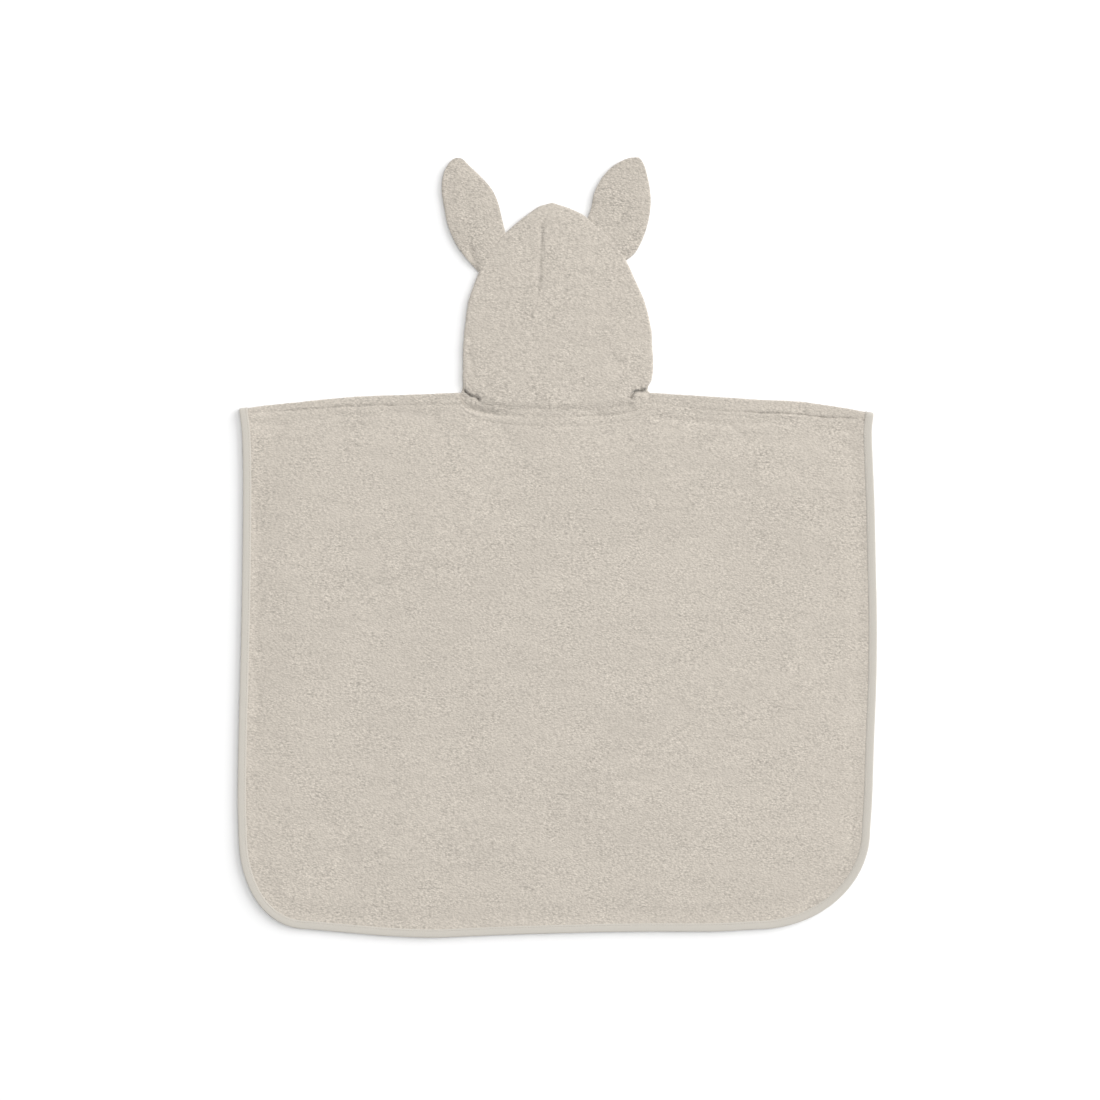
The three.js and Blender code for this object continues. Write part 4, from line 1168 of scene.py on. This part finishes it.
def cloth_material(name, colour, loop, contrast, bump, streak=True):
    """Terry or jersey: threads with dark gaps of painted shade, speckle, soft streaks and a matt sheen.
    """
    material, shader = new_material(name)
    tree = material.node_tree
    link = tree.links.new
    fill(shader, {"Roughness": 0.95, "Specular IOR Level": 0.15, "Sheen Weight": 0.75,
                  "Sheen Roughness": 0.5})

    def texture(kind, vector, **values):
        made = tree.nodes.new(f"ShaderNode{kind}")
        fill(made, values)
        link(vector, made.inputs["Vector"])
        return made.outputs

    def combined(kind, operation, *parts):
        """Numbers or vectors combined, each one linked in or set."""
        made = tree.nodes.new(f"ShaderNode{kind}")
        made.operation = operation
        for socket, part in zip(made.inputs, parts):
            if isinstance(part, bpy.types.NodeSocket):
                link(part, socket)
            else:
                socket.default_value = part
        return made.outputs[0]

    def weighted(total, *parts):
        """A number and outputs times their weights, added up."""
        for output, weight in parts:
            total = combined("Math", "MULTIPLY_ADD", output, weight, total)
        return total

    place = tree.nodes.new("ShaderNodeTexCoord").outputs["Object"]
    lying = texture("Mapping", place, Scale=(0.74, 1.22, 1.0))["Vector"]
    bend = texture("TexNoise", place, Scale=240.0, Detail=2.0)["Color"]
    bends = (loop * MM * 0.9,) * 3
    swirl = combined("VectorMath", "MULTIPLY_ADD", bend, bends, lying)
    cells = texture("TexVoronoi", swirl, Scale=1 / (loop * MM), Randomness=1.0)["Distance"]
    grain_scale = 1 / (loop * 1.22 * MM)
    grains = texture("TexNoise", lying, Scale=grain_scale, Detail=3.0, Roughness=0.62)["Fac"]
    stretch = texture("Mapping", place, Scale=(0.35, 1.6, 1.0))["Vector"]
    streaks = texture("TexNoise", stretch, Scale=60.0, Detail=3.0, Roughness=0.6)["Fac"]
    patches = texture("TexNoise", place, Scale=9.0, Detail=2.0)["Fac"]
    clumps = texture("TexNoise", place, Scale=38.0, Detail=2.0)["Fac"]

    # Speckle: random grain, and painted shade in the gaps between the loops
    speckle = weighted(-0.57 * contrast, (cells, -0.6 * contrast), (grains, 1.7 * contrast))
    uneven = combined("Math", "MULTIPLY", speckle, weighted(-0.15, (clumps, 2.3)))
    streaked = contrast if streak else 0.0
    base = 0.5 - 0.17 * streaked - 0.07 * contrast
    tone = weighted(base, (uneven, 1.0), (streaks, 0.34 * streaked), (patches, 0.14 * contrast))
    ramp = tree.nodes.new("ShaderNodeValToRGB")
    for element, amount in zip(ramp.color_ramp.elements, TONES):
        element.color = scaled(colour, amount)
    link(tone, ramp.inputs["Fac"])
    # Painted shade: the base colour is scaled down by each point's painted shade
    painted_shade = tree.nodes.new("ShaderNodeAttribute")
    painted_shade.attribute_name = "painted_shade"
    painted_shade_colour = tree.nodes.new("ShaderNodeVectorMath")
    painted_shade_colour.operation = "SCALE"
    link(ramp.outputs["Color"], painted_shade_colour.inputs[0])
    link(weighted(1.0, (painted_shade.outputs["Fac"], -1.0)), painted_shade_colour.inputs["Scale"])
    link(painted_shade_colour.outputs[0], shader.inputs["Base Color"])
    raised = tree.nodes.new("ShaderNodeBump")
    fill(raised, {"Strength": 1.0, "Distance": bump * MM})
    link(weighted(0.9, (cells, -0.9), (grains, 0.8)), raised.inputs["Height"])
    link(raised.outputs["Normal"], shader.inputs["Normal"])
    return material


TERRY_COLOUR = colour_of(197, 189, 178)
EAR_COLOUR = colour_of(195, 187, 176)
BINDING_COLOUR = colour_of(198, 193, 184)
THREAD_COLOUR = colour_of(198, 191, 181)

terry = cloth_material("terry", TERRY_COLOUR, loop=2.0, contrast=0.7, bump=0.45)
ear_terry = cloth_material("ear_terry", EAR_COLOUR, loop=2.0, contrast=0.84, bump=0.6)
jersey = cloth_material("jersey", BINDING_COLOUR, loop=0.7, contrast=0.12, bump=0.12)
thread = cloth_material("thread", THREAD_COLOUR, loop=0.5, contrast=0.15, bump=0.1, streak=False)


# Pieces

back_cloth = make("back_cloth", back_panel(), terry, "back_panel")
front_cloth = make("front_cloth", front_panel(), terry, "front_panel")
hood, ears = {}, {}
for side in EARS:
    hood[side] = make(f"hood_{side}_cloth", hood_panel(side), terry, f"hood_{side}")
for side in EARS:
    for wall, made in zip(("back", "front"), ear_walls(side)):
        name = f"ear_{side}_{wall}"
        ears[side, wall] = make(f"{name}_cloth", made, ear_terry, name)

places, inwards, ups = edge_stations()
band = swept(places, inwards, ups, TAPE_PROFILE, True)
edge_tape = make("edge_tape", band, jersey, "edge_binding")
along = unit(np.roll(places, -1, 0) - np.roll(places, 1, 0))
sewn = stitches(places + STITCH["in"] * inwards + STITCH["up"] * ups, along, ups)
edge_thread = make("edge_thread", sewn, thread, None)

hood_line = resampled(face_line(FACE["start"]), SPACING["station"])
places, inwards, ups = stations_along(hood_line, FRONT_EDGE_Z, 1)
band = swept(places, inwards, ups, TAPE_PROFILE, False)
hood_tape = make("hood_tape", band, jersey, "hood_binding")
along = unit(np.gradient(places, axis=0))
sewn = stitches(places + STITCH["in"] * inwards - STITCH["up"] * ups, along, -ups)
hood_thread = make("hood_thread", sewn, thread, None)


# Floor, light and camera

FLOOR_COLOUR = (0.93, 0.93, 0.93, 1)
AMBIENT = 0.24
# The floor's half width, and the place, size and power of each light, in metres and watts
FLOOR_HALF = 16.0
LIGHTS = {
    "key": ((17.6, 8.4, 12.4), 20.0, 5600),
    "overhead": ((0.9, 0.7, 9.0), 5.0, 400),
    "fill": ((-7.0, 1.5, 0.9), 1.4, 95),
}


def floor():
    material, shader = new_material("floor_white")
    fill(shader, {"Base Color": FLOOR_COLOUR, "Roughness": 1.0, "Specular IOR Level": 0.0})
    corners = [(FLOOR_HALF * x, FLOOR_HALF * y, 0) for x, y in ((-1, -1), (1, -1), (1, 1), (-1, 1))]
    data = bpy.data.meshes.new("floor")
    data.from_pydata(corners, [], [(0, 1, 2, 3)])
    data.materials.append(material)
    placed("floor", data)


def area_light(name, place, size, power):
    """A square light that shines at the origin."""
    data = bpy.data.lights.new(name, "AREA")
    data.shape = "SQUARE"
    data.size = size
    data.energy = power
    light = placed(name, data)
    light.location = place
    light.visible_camera = False
    light.rotation_mode = "QUATERNION"
    light.rotation_quaternion = (-Vector(place)).to_track_quat("-Z", "Y")


def lights():
    world = bpy.data.worlds.new("studio")
    world.use_nodes = True
    fill(world.node_tree.nodes["Background"], {"Color": (1, 1, 1, 1), "Strength": AMBIENT})
    bpy.context.scene.world = world
    for name, (place, size, power) in LIGHTS.items():
        area_light(name, place, size, power)


def camera():
    """Straight above the poncho, framed as in the photograph."""
    frame_width, centre_x, centre_y = 1210, -8.5, -3.0
    data = bpy.data.cameras.new("camera")
    data.lens = 100
    data.sensor_width = 36
    data.clip_end = 50
    made = placed("camera", data)
    height = frame_width * data.lens / data.sensor_width
    made.location = (centre_x * MM, centre_y * MM, height * MM)
    bpy.context.scene.camera = made


floor()
lights()
camera()
bpy.context.scene.view_settings.view_transform = "Standard"
